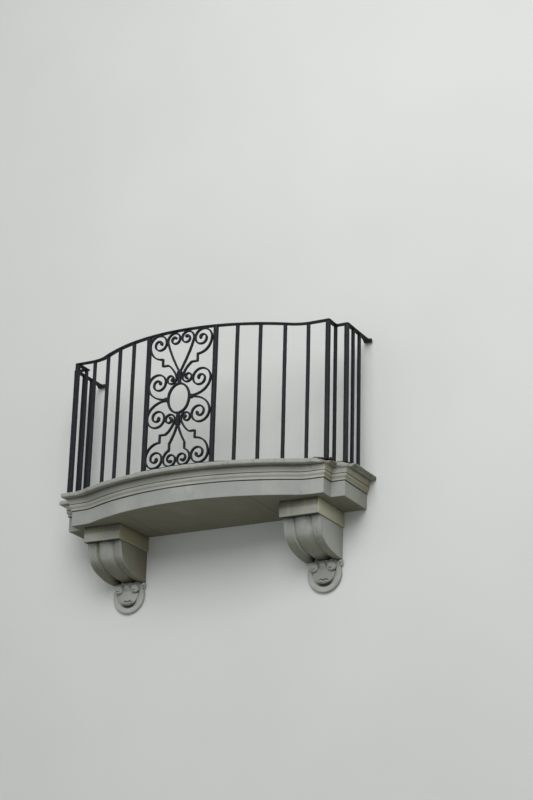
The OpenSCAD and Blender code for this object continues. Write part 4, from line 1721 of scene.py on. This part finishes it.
@dataclass(frozen=True)
class Railing:
    """Handrail with its forged ends, bottom rail, posts and balusters."""

    plan: Plan = Plan(front_half=1.005, bow_half=0.890, bow_depth=0.712, spacing=0.016)
    middle: float = 0.007
    rail_w: float = 0.036
    rail_t: float = 0.010
    z_rail: float = 1.176
    foot_w: float = 0.032
    foot_t: float = 0.008
    z_slab: float = 0.176
    post_w: float = 0.028
    bar_w: float = 0.021
    panel_half: float = 0.266
    bow_bars: int = 4
    side_bars: int = 2
    side_pitch: float = 0.098
    lug_len: float = 0.072
    lug_w: float = 0.058
    lug_t: float = 0.016

    def build(self, rail: bpy.types.Material, bar: bpy.types.Material) -> None:
        """Makes every piece of the railing but the scroll panel.

        Args:
            rail: finish of the rails and the handrail's ends.
            bar: finish of the upright bars.
        """
        self._rail("handrail", rail, self.rail_w, self.rail_t, self.z_rail, self.lug_len)
        foot = self.z_slab + self.foot_t
        self._rail("bottom_rail", rail, self.foot_w, self.foot_t, foot, 0.0)
        for side in Side:
            self._wall_end(side, rail)
            self._uprights(side, bar)

    def _rail(
        self,
        node: str,
        finish: bpy.types.Material,
        width: float,
        thick: float,
        top: float,
        start: float,
    ) -> None:
        """Makes one flat rail along the railing's plan.

        Args:
            node: the part's node that it stands for.
            finish: its material.
            width: width of the flat bar.
            thick: its thickness.
            top: height of its top.
            start: distance from the back at which it ends.
        """
        section = soft_square(width / 2, thick / 2, min(0.0026, thick * 0.32), 3)
        crown = 0.0006 * np.cos(np.clip(section[:, 0] / (width / 2), -1, 1) * math.pi / 2)
        rows, wear_and_highlight = [], []
        for (out, up), bulge in zip(section, crown):
            soft = 0.004 + max(0.0, out + width / 2) * 0.25
            ring = self.plan.ring(self.middle + out, soft, start)
            z = top - thick / 2 + up + (bulge if up > 0 else -bulge)
            rows.append(at_height(ring, z))
            wear_and_highlight.append(0.8 if abs(out) > width / 2 - 0.003 else 0.15)
        grid = np.array(rows)[::-1]
        mould = Mould()
        index = mould.add_grid(grid, np.array(wear_and_highlight)[::-1, None], 0.12, round_all=True)
        mould.add_face(index[:, 0])
        mould.add_face(index[::-1, -1])
        dents = (Dent(0.0007, 7.0, 81), Dent(0.0005, 34.0, 82))
        mould.build(node, "forged", finish, Slot.RAIL_IRON, dents, 35.0)

    def _wall_end(self, side: Side, finish: bpy.types.Material) -> None:
        """Makes one forged end of the handrail, which widens and turns up in a hook.

        Args:
            side: which end.
            finish: its material.
        """
        z = self.z_rail - self.rail_t / 2
        path = [
            (-self.lug_len - 0.004, z, self.rail_w, self.rail_t),
            (-self.lug_len + 0.006, z - 0.0005, self.rail_w * 1.02, self.rail_t * 1.06),
            (-0.054, z - 0.0015, self.rail_w * 1.12, self.rail_t * 1.15),
            (-0.044, z - 0.0025, self.rail_w * 1.25, self.rail_t * 1.25),
            (-0.034, z - 0.0042, self.lug_w * 0.88, self.lug_t * 1.00),
            (-0.024, z - 0.0058, self.lug_w * 0.95, self.lug_t * 1.20),
            (-0.0145, z - 0.0060, self.lug_w, self.lug_t * 1.25),
            (-0.0100, z - 0.0020, self.lug_w, self.lug_t * 1.10),
            (-0.0095, z + 0.0040, self.lug_w * 0.99, self.lug_t * 0.95),
            (-0.0130, z + 0.0085, self.lug_w * 0.97, self.lug_t * 0.80),
            (-0.0180, z + 0.0095, self.lug_w * 0.95, self.lug_t * 0.65),
        ]
        middle = side.value * (self.plan.wing_half + self.middle)
        rows = []
        for i, (y, height, wide, thick) in enumerate(path):
            before, after = path[max(0, i - 1)], path[min(len(path) - 1, i + 1)]
            run = math.hypot(after[0] - before[0], after[1] - before[1])
            along = ((after[0] - before[0]) / run, (after[1] - before[1]) / run)
            ring = soft_square(wide / 2, thick / 2, min(0.003, thick * 0.34), 2)
            out, up = -ring[:, 1] * along[1], ring[:, 1] * along[0]
            rows.append(spots(middle + ring[:, 0], y + out, height + up))
        mould = Mould()
        mould.add_solid(rows, wear_and_highlight=0.5, grime_and_shade=0.45)
        dents = (Dent(0.0010, 40.0, 91), Dent(0.0006, 90.0, 92))
        mould.build(f"wall_end_{side.word}", "forged", finish, Slot.RAIL_IRON, dents, 45.0)

    def _uprights(self, side: Side, finish: bpy.types.Material) -> None:
        """Makes the posts and balusters of one side.

        Args:
            side: which side.
            finish: their material.
        """
        way = side.value
        wing_x = self.plan.wing_half + self.middle
        front_x = self.plan.front_half + self.middle
        wing_d = self.plan.wing_depth + self.middle
        front_d = self.plan.front_depth + self.middle
        gap = (front_x - self.panel_half) / (self.bow_bars + 1)
        bow = [self.panel_half + gap * i for i in range(1, self.bow_bars + 1)]
        groups = {
            "corner_post": [(wing_x, wing_d, self.post_w)],
            "step_post": [(front_x, front_d, self.post_w)],
            "inner_bar": [(front_x, wing_d, self.bar_w)],
            "panel_post": [(self.panel_half, self._depth(self.panel_half), self.post_w)],
            "bow_balusters": [(x, self._depth(x), self.bar_w) for x in bow],
            "side_balusters": [
                (wing_x, wing_d - self.side_pitch * i, self.bar_w)
                for i in range(1, self.side_bars + 1)
            ],
        }
        for number, (node, bars) in enumerate(groups.items()):
            mould = Mould()
            for i, (x, depth, size) in enumerate(bars):
                seed = 10 * number + 3 * i + (50 if side is Side.LEFT else 0)
                Bar(way * x, depth, size, seed).add(mould)
            dents = (Dent(0.0005, 42.0, 101 + number),)
            mould.build(f"{node}_{side.word}", "forged", finish, Slot.BAR_IRON, dents, 50.0)

    def _depth(self, x: float) -> float:
        """Distance of the railing's middle line from the back at a place along the front."""
        return self.plan.depth_at(x, self.middle)


# Scroll panel

TURN_STEPS = 44


def volute(centre: Place, start: float, radius: float, eye: float, turns: float) -> np.ndarray:
    """Points of a volute, from its outside to its eye.

    Args:
        centre: its middle.
        start: angle of its first point in degrees.
        radius: its outer radius.
        eye: radius at which it ends.
        turns: number of turns.

    Returns:
        The points, one row each.
    """
    share = np.linspace(0.0, 1.0, round(turns * TURN_STEPS) + 1)
    angle = math.radians(start) + 2 * math.pi * turns * share
    reach = radius + (eye - radius) * share
    return np.asarray(centre) + reach[:, None] * np.column_stack([np.cos(angle), np.sin(angle)])


def curve(p: Place, q: Place, r: Place, s: Place, steps: int = 24) -> np.ndarray:
    """Points of a free curve between two ends with a handle at each.

    Args:
        p: first end.
        q: its handle.
        r: handle of the last end.
        s: last end.
        steps: number of segments.

    Returns:
        The points, one row each.
    """
    t = np.linspace(0.0, 1.0, steps + 1)[:, None]
    u = 1 - t
    return u**3 * p + 3 * u * u * t * q + 3 * u * t * t * r + t**3 * s


@dataclass(frozen=True)
class ScrollPanel:
    """The flat panel of forged scrolls between the two panel posts."""

    plane: float = 0.710
    z: float = 0.675
    half_h: float = 0.491
    half_w: float = 0.252
    thick: float = 0.0115
    deep: float = 0.021
    seat: float = 0.0003
    oval_a: float = 0.0825
    oval_b: float = 0.1065
    big_r: float = 0.076
    mid_r: float = 0.080
    small_r: float = 0.043
    heart_r: float = 0.057
    eye_r: float = 0.008
    wrap_t: float = 0.005
    wrap_h: float = 0.048
    side_wrap: float = 0.018
    side_wrap_t: float = 0.003
    collar_d: float = 0.028
    big_turns: float = 1.6
    small_turns: float = 1.3
    heart_turns: float = 1.5
    heart_from: float = -15.0
    spacing: float = 0.0055
    soft: float = 0.0026
    eye_swell: float = 0.75
    eye_len: float = 0.013
    blunt: float = 0.006
    collar_soft: float = 0.003
    collar_rise: float = 0.0895
    small_rise: float = 0.042
    mid_rise: float = 0.0175
    neck_rise: float = 0.002
    leg_end: float = 0.006
    shelf_run: Pair = (0.072, 0.104)
    shelf_step: Pair = (0.0, 0.052)
    shelf_back: Pair = (-0.042, 0.0)
    jog_out: float = 0.012
    jog_step: Pair = (0.0, 0.048)
    heart_rise: Pair = (0.058, 0.106)
    heart_pull: float = 0.045
    foot_rise: Pair = (0.008, 0.040)
    jog_pull: Pair = (-0.022, -0.038)
    jog_far: Pair = (0.024, 0.010)
    jog_heart_pull: float = 0.024
    small_pull: Pair = (0.004, 0.040)
    foot_pull: Pair = (-0.020, -0.004)
    shelf_far: Pair = (0.062, 0.0)
    big_pull: Pair = (0.0, -0.066)
    mid_from: float = 0.002
    mid_pull: Pair = (0.060, 0.0)
    mid_drop: Pair = (0.0, -0.078)

    def build(self, iron: bpy.types.Material) -> None:
        """Makes the oval, the twelve scrolls and the collars.

        Args:
            iron: their finish.
        """
        self._oval(iron)
        paths = self._paths()
        layout = {
            "heart_scroll": ("heart", Level.UPPER),
            "upper_scroll": ("outer", Level.UPPER),
            "mid_upper_scroll": ("mid", Level.UPPER),
            "mid_lower_scroll": ("mid", Level.LOWER),
            "lower_scroll": ("outer", Level.LOWER),
            "foot_scroll": ("foot", Level.LOWER),
        }
        for number, (node, (kind, level)) in enumerate(layout.items()):
            for side in Side:
                path, eyes = paths[kind]
                mould = Mould()
                self._strip(mould, self._spread(path), eyes, side, level, 7 * number + side.value)
                dents = (Dent(0.0006, 55.0, 121 + number), Dent(0.0003, 140.0, 131))
                mould.build(f"{node}_{side.word}", "forged", iron, Slot.SCROLL_IRON, dents, 60.0)
        self._centre_collars(iron)
        self._side_collars(iron)

    def _paths(self) -> dict[str, tuple[np.ndarray, tuple[bool, bool]]]:
        """Middle lines of the scrolls in the upper right quarter of the panel.

        Returns:
            For each kind, its points and whether its first and last ends are volutes' eyes.
        """
        t, seat, eye = self.thick, self.seat, self.eye_r
        reach = self.half_w - t / 2 - seat
        crest = self.half_h - t / 2 - seat
        beside = t / 2 + seat / 2
        big_c = np.array(
            [reach - self.big_r, crest - self.big_r - (eye - self.big_r) * 0.25 / self.big_turns]
        )
        gap = (
            self.big_r + (eye - self.big_r) / 2 / self.big_turns + t + seat + self.heart_r * 0.975
        )
        lift = (eye - self.heart_r) * (90 - self.heart_from) / 360 / self.heart_turns
        heart_c = np.array([big_c[0] - gap, crest - self.heart_r - lift])
        collar_top = self.oval_b + self.collar_rise
        collar_half = t + 1.5 * seat + self.wrap_t
        small_c = np.array([collar_half + t / 2 + seat + self.small_r, self.oval_b + self.small_rise])
        mid_c = np.array([reach - self.mid_r, self.oval_b + self.mid_rise])
        shelf = small_c + self.shelf_run
        shelf_top = shelf + self.shelf_step
        shelf_foot = shelf + self.shelf_back
        jog = heart_c + (self.jog_out, -2 * self.heart_r)
        jog_top = jog + self.jog_step
        neck = np.array([beside, collar_top + self.neck_rise])
        leg = np.array([[beside, collar_top - self.wrap_h - self.leg_end]])

        heart = volute(heart_c, self.heart_from, self.heart_r, eye, self.heart_turns)
        turn = math.radians(self.heart_from)
        way = np.array([-math.sin(turn), math.cos(turn)])
        small = volute(small_c, 180.0, self.small_r, eye, self.small_turns)
        big = volute(big_c, 0.0, self.big_r, eye, self.big_turns)
        mid = volute(mid_c, 0.0, self.mid_r, eye, self.big_turns)
        root = np.array([self.oval_a + t / 2 + seat, beside])
        start = root + (self.side_wrap + self.mid_from, 0.0)
        free = curve(neck, neck + self.heart_rise, heart[0] - self.heart_pull * way, heart[0])
        low = curve(neck, neck + self.foot_rise, jog + self.jog_pull, jog)
        bend = heart[0] - self.jog_heart_pull * way
        high = curve(jog_top, jog_top + self.jog_far, bend, heart[0])
        swing = curve(small[0], small[0] + self.small_pull, shelf_foot + self.foot_pull, shelf_foot)
        sweep = curve(shelf_top, shelf_top + self.shelf_far, big[0] + self.big_pull, big[0])
        loop = curve(start, start + self.mid_pull, mid[0] + self.mid_drop, mid[0], 34)
        return {
            "heart": (np.vstack([leg, free, heart[1:]]), (False, True)),
            "foot": (np.vstack([leg, low, high, heart[1:]]), (False, True)),
            "outer": (
                np.vstack([small[::-1], swing[1:], shelf[None], sweep, big[1:]]),
                (True, True),
            ),
            "mid": (np.vstack([root[None], loop, mid[1:]]), (False, True)),
        }

    def _spread(self, path: np.ndarray) -> np.ndarray:
        """Evenly spaced points along a path, with its sharp steps kept but eased.

        Args:
            path: the path's points.

        Returns:
            The new points.
        """
        run = np.concatenate([[0.0], np.cumsum(np.linalg.norm(np.diff(path, axis=0), axis=1))])
        total = max(8, round(run[-1] / self.spacing))
        even = np.linspace(0.0, run[-1], total + 1)
        return np.column_stack([np.interp(even, run, path[:, i]) for i in range(2)])

    def _strip(
        self,
        mould: Mould,
        path: np.ndarray,
        eyes: tuple[bool, bool],
        side: Side,
        level: Level,
        seed: int,
    ) -> None:
        """Adds a forged strip along a path, swelling to a blunt eye where a volute ends.

        Args:
            mould: the piece that gets it.
            path: its middle line in the upper right quarter.
            eyes: whether the first and last ends are eyes.
            side: the side of the panel that it lies on.
            level: the half of the panel that it lies in.
            seed: picks its unevenness.
        """
        step = np.diff(path, axis=0)
        step /= np.linalg.norm(step, axis=1)[:, None]
        heading = np.vstack([step[:1], step[:-1] + step[1:], step[-1:]])
        heading /= np.linalg.norm(heading, axis=1)[:, None]
        lean = np.ones(len(path))
        lean[1:-1] = 1 / np.maximum(0.72, np.sum(heading[1:-1] * step[1:], axis=1))
        normal = np.column_stack([-heading[:, 1], heading[:, 0]])
        run = np.concatenate([[0.0], np.cumsum(np.linalg.norm(np.diff(path, axis=0), axis=1))])
        left, right = run, run[-1] - run
        swell = np.ones(len(path))
        for flag, away in zip(eyes, (left, right)):
            if flag:
                swell += self.eye_swell * np.exp(-((away - self.eye_len) ** 2) / (2 * self.eye_len**2))
        drift = spots(run, seed, 0.0)
        swell *= 1 + 0.05 * lattice(drift, 22.0, 141)
        ring = soft_square(self.thick / 2, self.deep / 2, self.soft, 3)
        rows = []
        ends = ((eyes[0], left), (eyes[1], right))
        for i, point in enumerate(path):
            shrink = 1.0
            for flag, away in ends:
                if flag and away[i] < self.blunt:
                    shrink = min(shrink, math.sqrt(max(0.02, 1 - (1 - away[i] / self.blunt) ** 2)))
            across = ring[:, 0] * swell[i] * lean[i] * shrink
            out = ring[:, 1] * (0.94 + 0.06 * swell[i]) * (0.7 + 0.3 * shrink)
            flat = point + across[:, None] * normal[i]
            x, z = side.value * flat[:, 0], self.z + level.value * flat[:, 1]
            rows.append(spots(x, -self.plane - out, z))
        grid = np.array(rows)
        if side.value * level.value > 0:
            grid = grid[:, ::-1]
        edge = np.abs(ring[:, 1]) > self.deep / 2 - 0.003
        wear_and_highlight = np.where(edge if side.value * level.value < 0 else edge[::-1], 0.7, 0.2)
        rust = 0.25 + 0.5 * np.exp(-np.minimum(left, right) / 0.02)
        mould.add_solid(grid, wear_and_highlight[None, :], rust[:, None])

    def _oval(self, iron: bpy.types.Material) -> None:
        """Makes the oval ring in the middle of the panel.

        Args:
            iron: its finish.
        """
        ring = soft_square(self.thick * 0.6, self.deep / 2, self.soft, 3)
        rows = []
        for angle in around(96):
            c, s = math.cos(angle), math.sin(angle)
            slope = math.hypot(self.oval_b * c, self.oval_a * s)
            nx, nz = self.oval_b * c / slope, self.oval_a * s / slope
            x, z = self.oval_a * c + ring[:, 0] * nx, self.z + self.oval_b * s + ring[:, 0] * nz
            rows.append(spots(x, -self.plane - ring[:, 1], z))
        mould = Mould()
        wear_and_highlight = np.where(np.abs(ring[:, 1]) > self.deep / 2 - 0.003, 0.7, 0.2)
        grid = np.array(rows)[:, ::-1]
        mould.add_grid(grid, wear_and_highlight[None, ::-1], 0.3, round_rows=True, round_all=True)
        dents = (Dent(0.0006, 50.0, 151), Dent(0.0003, 130.0, 152))
        mould.build("oval_ring", "forged", iron, Slot.SCROLL_IRON, dents, 60.0)

    def _centre_collars(self, iron: bpy.types.Material) -> None:
        """Makes the wraps that bind the legs above and below the oval, and the legs' ends.

        Args:
            iron: their finish.
        """
        half = self.thick + 1.5 * self.seat + self.wrap_t
        top = self.oval_b + self.collar_rise
        mould = Mould()
        for level in Level:
            low, high = sorted((level.value * top, level.value * (top - self.wrap_h)))
            for part in range(3):
                step = (high - low) / 3
                mould.add_block(
                    Vector((-half, -self.plane - self.collar_d / 2, self.z + low + step * part)),
                    Vector((half, -self.plane + self.collar_d / 2, self.z + low + step * (part + 1))),
                    self.collar_soft,
                )
            near, far = sorted((level.value * self.oval_b, level.value * (top - self.wrap_h)))
            mould.add_block(
                Vector((-self.thick, -self.plane - self.deep * 0.48, self.z + near)),
                Vector((self.thick, -self.plane + self.deep * 0.48, self.z + far)),
                self.collar_soft,
            )
        dents = (Dent(0.0008, 60.0, 161),)
        mould.build("centre_collars", "forged", iron, Slot.SCROLL_IRON, dents, 50.0)

    def _side_collars(self, iron: bpy.types.Material) -> None:
        """Makes the wraps that bind the middle scrolls at the oval's sides.

        Args:
            iron: their finish.
        """
        half = self.thick + 1.5 * self.seat + self.side_wrap_t
        near = self.oval_a + self.thick / 2 + self.seat
        mould = Mould()
        for side in Side:
            low_x, high_x = sorted((side.value * near, side.value * (near + self.side_wrap)))
            mould.add_block(
                Vector((low_x, -self.plane - self.collar_d / 2, self.z - half)),
                Vector((high_x, -self.plane + self.collar_d / 2, self.z + half)),
                self.collar_soft,
            )
        dents = (Dent(0.0008, 60.0, 171),)
        mould.build("side_collars", "forged", iron, Slot.SCROLL_IRON, dents, 50.0)


# Stage


@dataclass(frozen=True)
class Studio:
    """Camera, sky light, one lamp, floor and backdrop."""

    yaw: float = -28.435
    pitch: float = 20.311
    roll: float = 1.521
    eye: Triple = (6.354, -11.184, -3.851)
    focal_px: float = 1908.55
    photo_height: int = 800
    sensor: float = 36.0
    floor_z: float = -6.0
    backdrop_y: float = 0.003
    sky: float = 0.50
    seen_sky: float = 0.95
    key: float = 0.62
    key_from: Triple = (2.9, -8.6, 4.6)
    aim: Triple = (0.0, -0.3, 0.4)
    lamp_size: float = 6.0
    paper: Colour = srgb(208, 210, 208)

    def build(self) -> None:
        """Makes the whole studio."""
        self._camera()
        self._world()
        self._lamp()
        self._planes()
        bpy.context.scene.view_settings.view_transform = "Standard"

    def _camera(self) -> None:
        """Makes the camera at the viewing angle of the photograph."""
        yaw, pitch, roll = (math.radians(v) for v in (self.yaw, self.pitch, self.roll))
        ahead = Vector(
            (math.sin(yaw) * math.cos(pitch), math.cos(yaw) * math.cos(pitch), math.sin(pitch))
        )
        right = Vector((math.cos(yaw), -math.sin(yaw), 0.0))
        up = right.cross(ahead)
        across = right * math.cos(roll) + up * math.sin(roll)
        above = up * math.cos(roll) - right * math.sin(roll)
        data = bpy.data.cameras.new("photo_camera")
        data.sensor_fit = "AUTO"
        data.sensor_width = self.sensor
        data.lens = self.focal_px * self.sensor / self.photo_height
        data.clip_end = 200.0
        camera = bpy.data.objects.new("photo_camera", data)
        place = Matrix((across, above, -ahead)).transposed().to_4x4()
        place.translation = Vector(self.eye)
        camera.matrix_world = place
        bpy.context.scene.collection.objects.link(camera)
        bpy.context.scene.camera = camera

    def _world(self) -> None:
        """Makes the even sky light, which the camera sees as near white."""
        world = bpy.data.worlds.new("soft_sky")
        world.use_nodes = True
        tree = world.node_tree
        tree.nodes.clear()
        output = tree.nodes.new("ShaderNodeOutputWorld")
        rays = tree.nodes.new("ShaderNodeLightPath")
        choice = tree.nodes.new("ShaderNodeMixShader")
        for entry, strength in ((1, self.sky), (2, self.seen_sky)):
            light = tree.nodes.new("ShaderNodeBackground")
            light.inputs["Color"].default_value = (1.0, 1.0, 1.0, 1.0)
            light.inputs["Strength"].default_value = strength
            tree.links.new(light.outputs[0], choice.inputs[entry])
        tree.links.new(rays.outputs["Is Camera Ray"], choice.inputs[0])
        tree.links.new(choice.outputs[0], output.inputs["Surface"])
        bpy.context.scene.world = world

    def _lamp(self) -> None:
        """Makes one large soft lamp in front of and above the balcony."""
        data = bpy.data.lights.new("soft_front", "AREA")
        data.shape = "SQUARE"
        data.size = self.lamp_size
        place, target = Vector(self.key_from), Vector(self.aim)
        reach = target - place
        facing = abs(reach.normalized().y)
        data.energy = self.key * math.pi**2 * reach.length_squared / facing
        lamp = bpy.data.objects.new("soft_front", data)
        lamp.location = place
        lamp.rotation_euler = reach.to_track_quat("-Z", "Y").to_euler()
        bpy.context.scene.collection.objects.link(lamp)

    def _paper(self) -> bpy.types.Material:
        """Pale stage paper that can be seen through from behind.

        Returns:
            The material.
        """
        graph = Graph("stage_paper")
        tone = graph.noise(0.8, 2.0).between(0.3, 0.7)
        shade = tuple(0.97 * c for c in self.paper)
        sheet = graph.node(
            "ShaderNodeBsdfPrincipled",
            {},
            {"Base Color": graph.mix(tone, shade, self.paper), "Roughness": 0.9},
        )
        clear = graph.node("ShaderNodeBsdfTransparent", {}, {})
        behind = graph.node("ShaderNodeNewGeometry", {}, {}, "Backfacing")
        mixed = graph.node("ShaderNodeMixShader", {}, {0: behind, 1: sheet, 2: clear})
        graph.tree.links.new(mixed.socket, graph.output.inputs["Surface"])
        return graph.material

    def _planes(self) -> None:
        """Makes the floor and the upright backdrop behind the balcony."""
        paper = self._paper()
        far, near, top = 30.0, -30.0, 26.0
        sheets = {
            "stage_floor": [
                (-far, near, self.floor_z),
                (far, near, self.floor_z),
                (far, self.backdrop_y, self.floor_z),
                (-far, self.backdrop_y, self.floor_z),
            ],
            "stage_backdrop": [
                (-far, self.backdrop_y, self.floor_z),
                (far, self.backdrop_y, self.floor_z),
                (far, self.backdrop_y, top),
                (-far, self.backdrop_y, top),
            ],
        }
        for name, corners in sheets.items():
            mesh = bpy.data.meshes.new(name)
            mesh.from_pydata(corners, [], [(0, 1, 2, 3)])
            mesh.materials.append(paper)
            sheet = bpy.data.objects.new(name, mesh)
            bpy.context.scene.collection.objects.link(sheet)


# Assembly


def moulding_paint() -> PaintedStone:
    """Paint of the moulded courses, stained olive where they face the right end; the stain's light tone
    also paints the light on those faces.

    Returns:
        The finish.
    """
    return PaintedStone(
        "moulding_paint",
        Grain.LEVEL,
        light=srgb(162, 163, 156),
        dark=srgb(148, 149, 143),
        # Side tint: olive stain in a light tone that also paints the light on the returns.
        algae_and_side_shading=srgb(143, 141, 114),
        umber=srgb(132, 123, 102),
        side_stain_and_shading=0.85,
        back_stain_and_shade=0.5,
        rain_stain=0.2,
    )


def abacus_paint(side: Side) -> PaintedStone:
    """Paint of one abacus, with the slab's shadow painted over its upper half, and a pale side tint on the
    right one that paints the light on its right side.

    Args:
        side: which bracket it lies on.

    Returns:
        The finish.
    """
    return PaintedStone(
        f"{side.word}_abacus_paint",
        Grain.LEVEL,
        light=srgb(153, 154, 144),
        dark=srgb(139, 140, 131),
        # Side tint: pale on the right abacus, painting the light on its right side; olive on the left.
        algae_and_side_shading=srgb(190, 188, 158) if side is Side.RIGHT else srgb(148, 142, 105),
        side_stain_and_shading=0.7,
        back_stain_and_shade=0.35,
        rain_stain=0.2,
        # The slab's painted shadow over the block above this height.
        head=-0.108,
    )


def bracket_paint(side: Side) -> PaintedStone:
    """Paint of one bracket: painted light on the right one's cheek, and painted shade on the left one's
    inner cheek, darker towards the wall.

    Args:
        side: which bracket.

    Returns:
        The finish.
    """
    grey, dull = srgb(152, 154, 148), srgb(138, 140, 135)
    if side is Side.LEFT:
        return PaintedStone(
            "left_bracket_paint",
            Grain.UPRIGHT,
            light=grey,
            dark=dull,
            # Painted shade on the left bracket's inner cheek, darker towards the wall.
            side_stain_and_shading=0.7,
            back_stain_and_shade=0.6,
            under_shade_and_stain=0.8,
        )
    return PaintedStone(
        "right_bracket_paint",
        Grain.UPRIGHT,
        light=grey,
        dark=dull,
        # Painted light: a pale tint on the right bracket's cheek.
        algae_and_side_shading=srgb(168, 170, 164),
        under=srgb(106, 107, 82),
        side_stain_and_shading=0.6,
        back_stain_and_shade=0.1,
        under_shade_and_stain=0.7,
    )


def pendant_paint() -> PaintedStone:
    """Paint of the pendants, the palest of the stone.

    Returns:
        The finish.
    """
    return PaintedStone(
        "pendant_paint",
        Grain.UPRIGHT,
        light=srgb(174, 176, 170),
        dark=srgb(154, 156, 150),
        back_stain_and_shade=0.2,
        under_shade_and_stain=0.5,
    )


def main() -> None:
    """Builds every piece in order."""
    logging.basicConfig(level=logging.INFO, format="%(message)s")
    plain = PaintedStone("fascia_paint", Grain.LEVEL, joint=0.506).build()
    moulded = moulding_paint().build()
    sides = (Side.RIGHT, Side.LEFT)
    block = {side: abacus_paint(side).build() for side in sides}
    carved = {side: bracket_paint(side).build() for side in sides}
    round_paint = pendant_paint().build()
    slab = SlabStone().build()
    rail = PaintedIron("rail_iron_paint", Forging.ROLLED).build()
    bar = PaintedIron("bar_iron_paint", Forging.DRAWN).build()
    scroll = PaintedIron("scroll_iron_paint", Forging.HAMMERED).build()

    Slab().build(plain, moulded, slab)
    for side in Side:
        Bracket(side).build(block[side], carved[side])
        Pendant(side).build(round_paint)
    Railing().build(rail, bar)
    ScrollPanel().build(scroll)
    Studio().build()


if __name__ == "__main__":
    main()
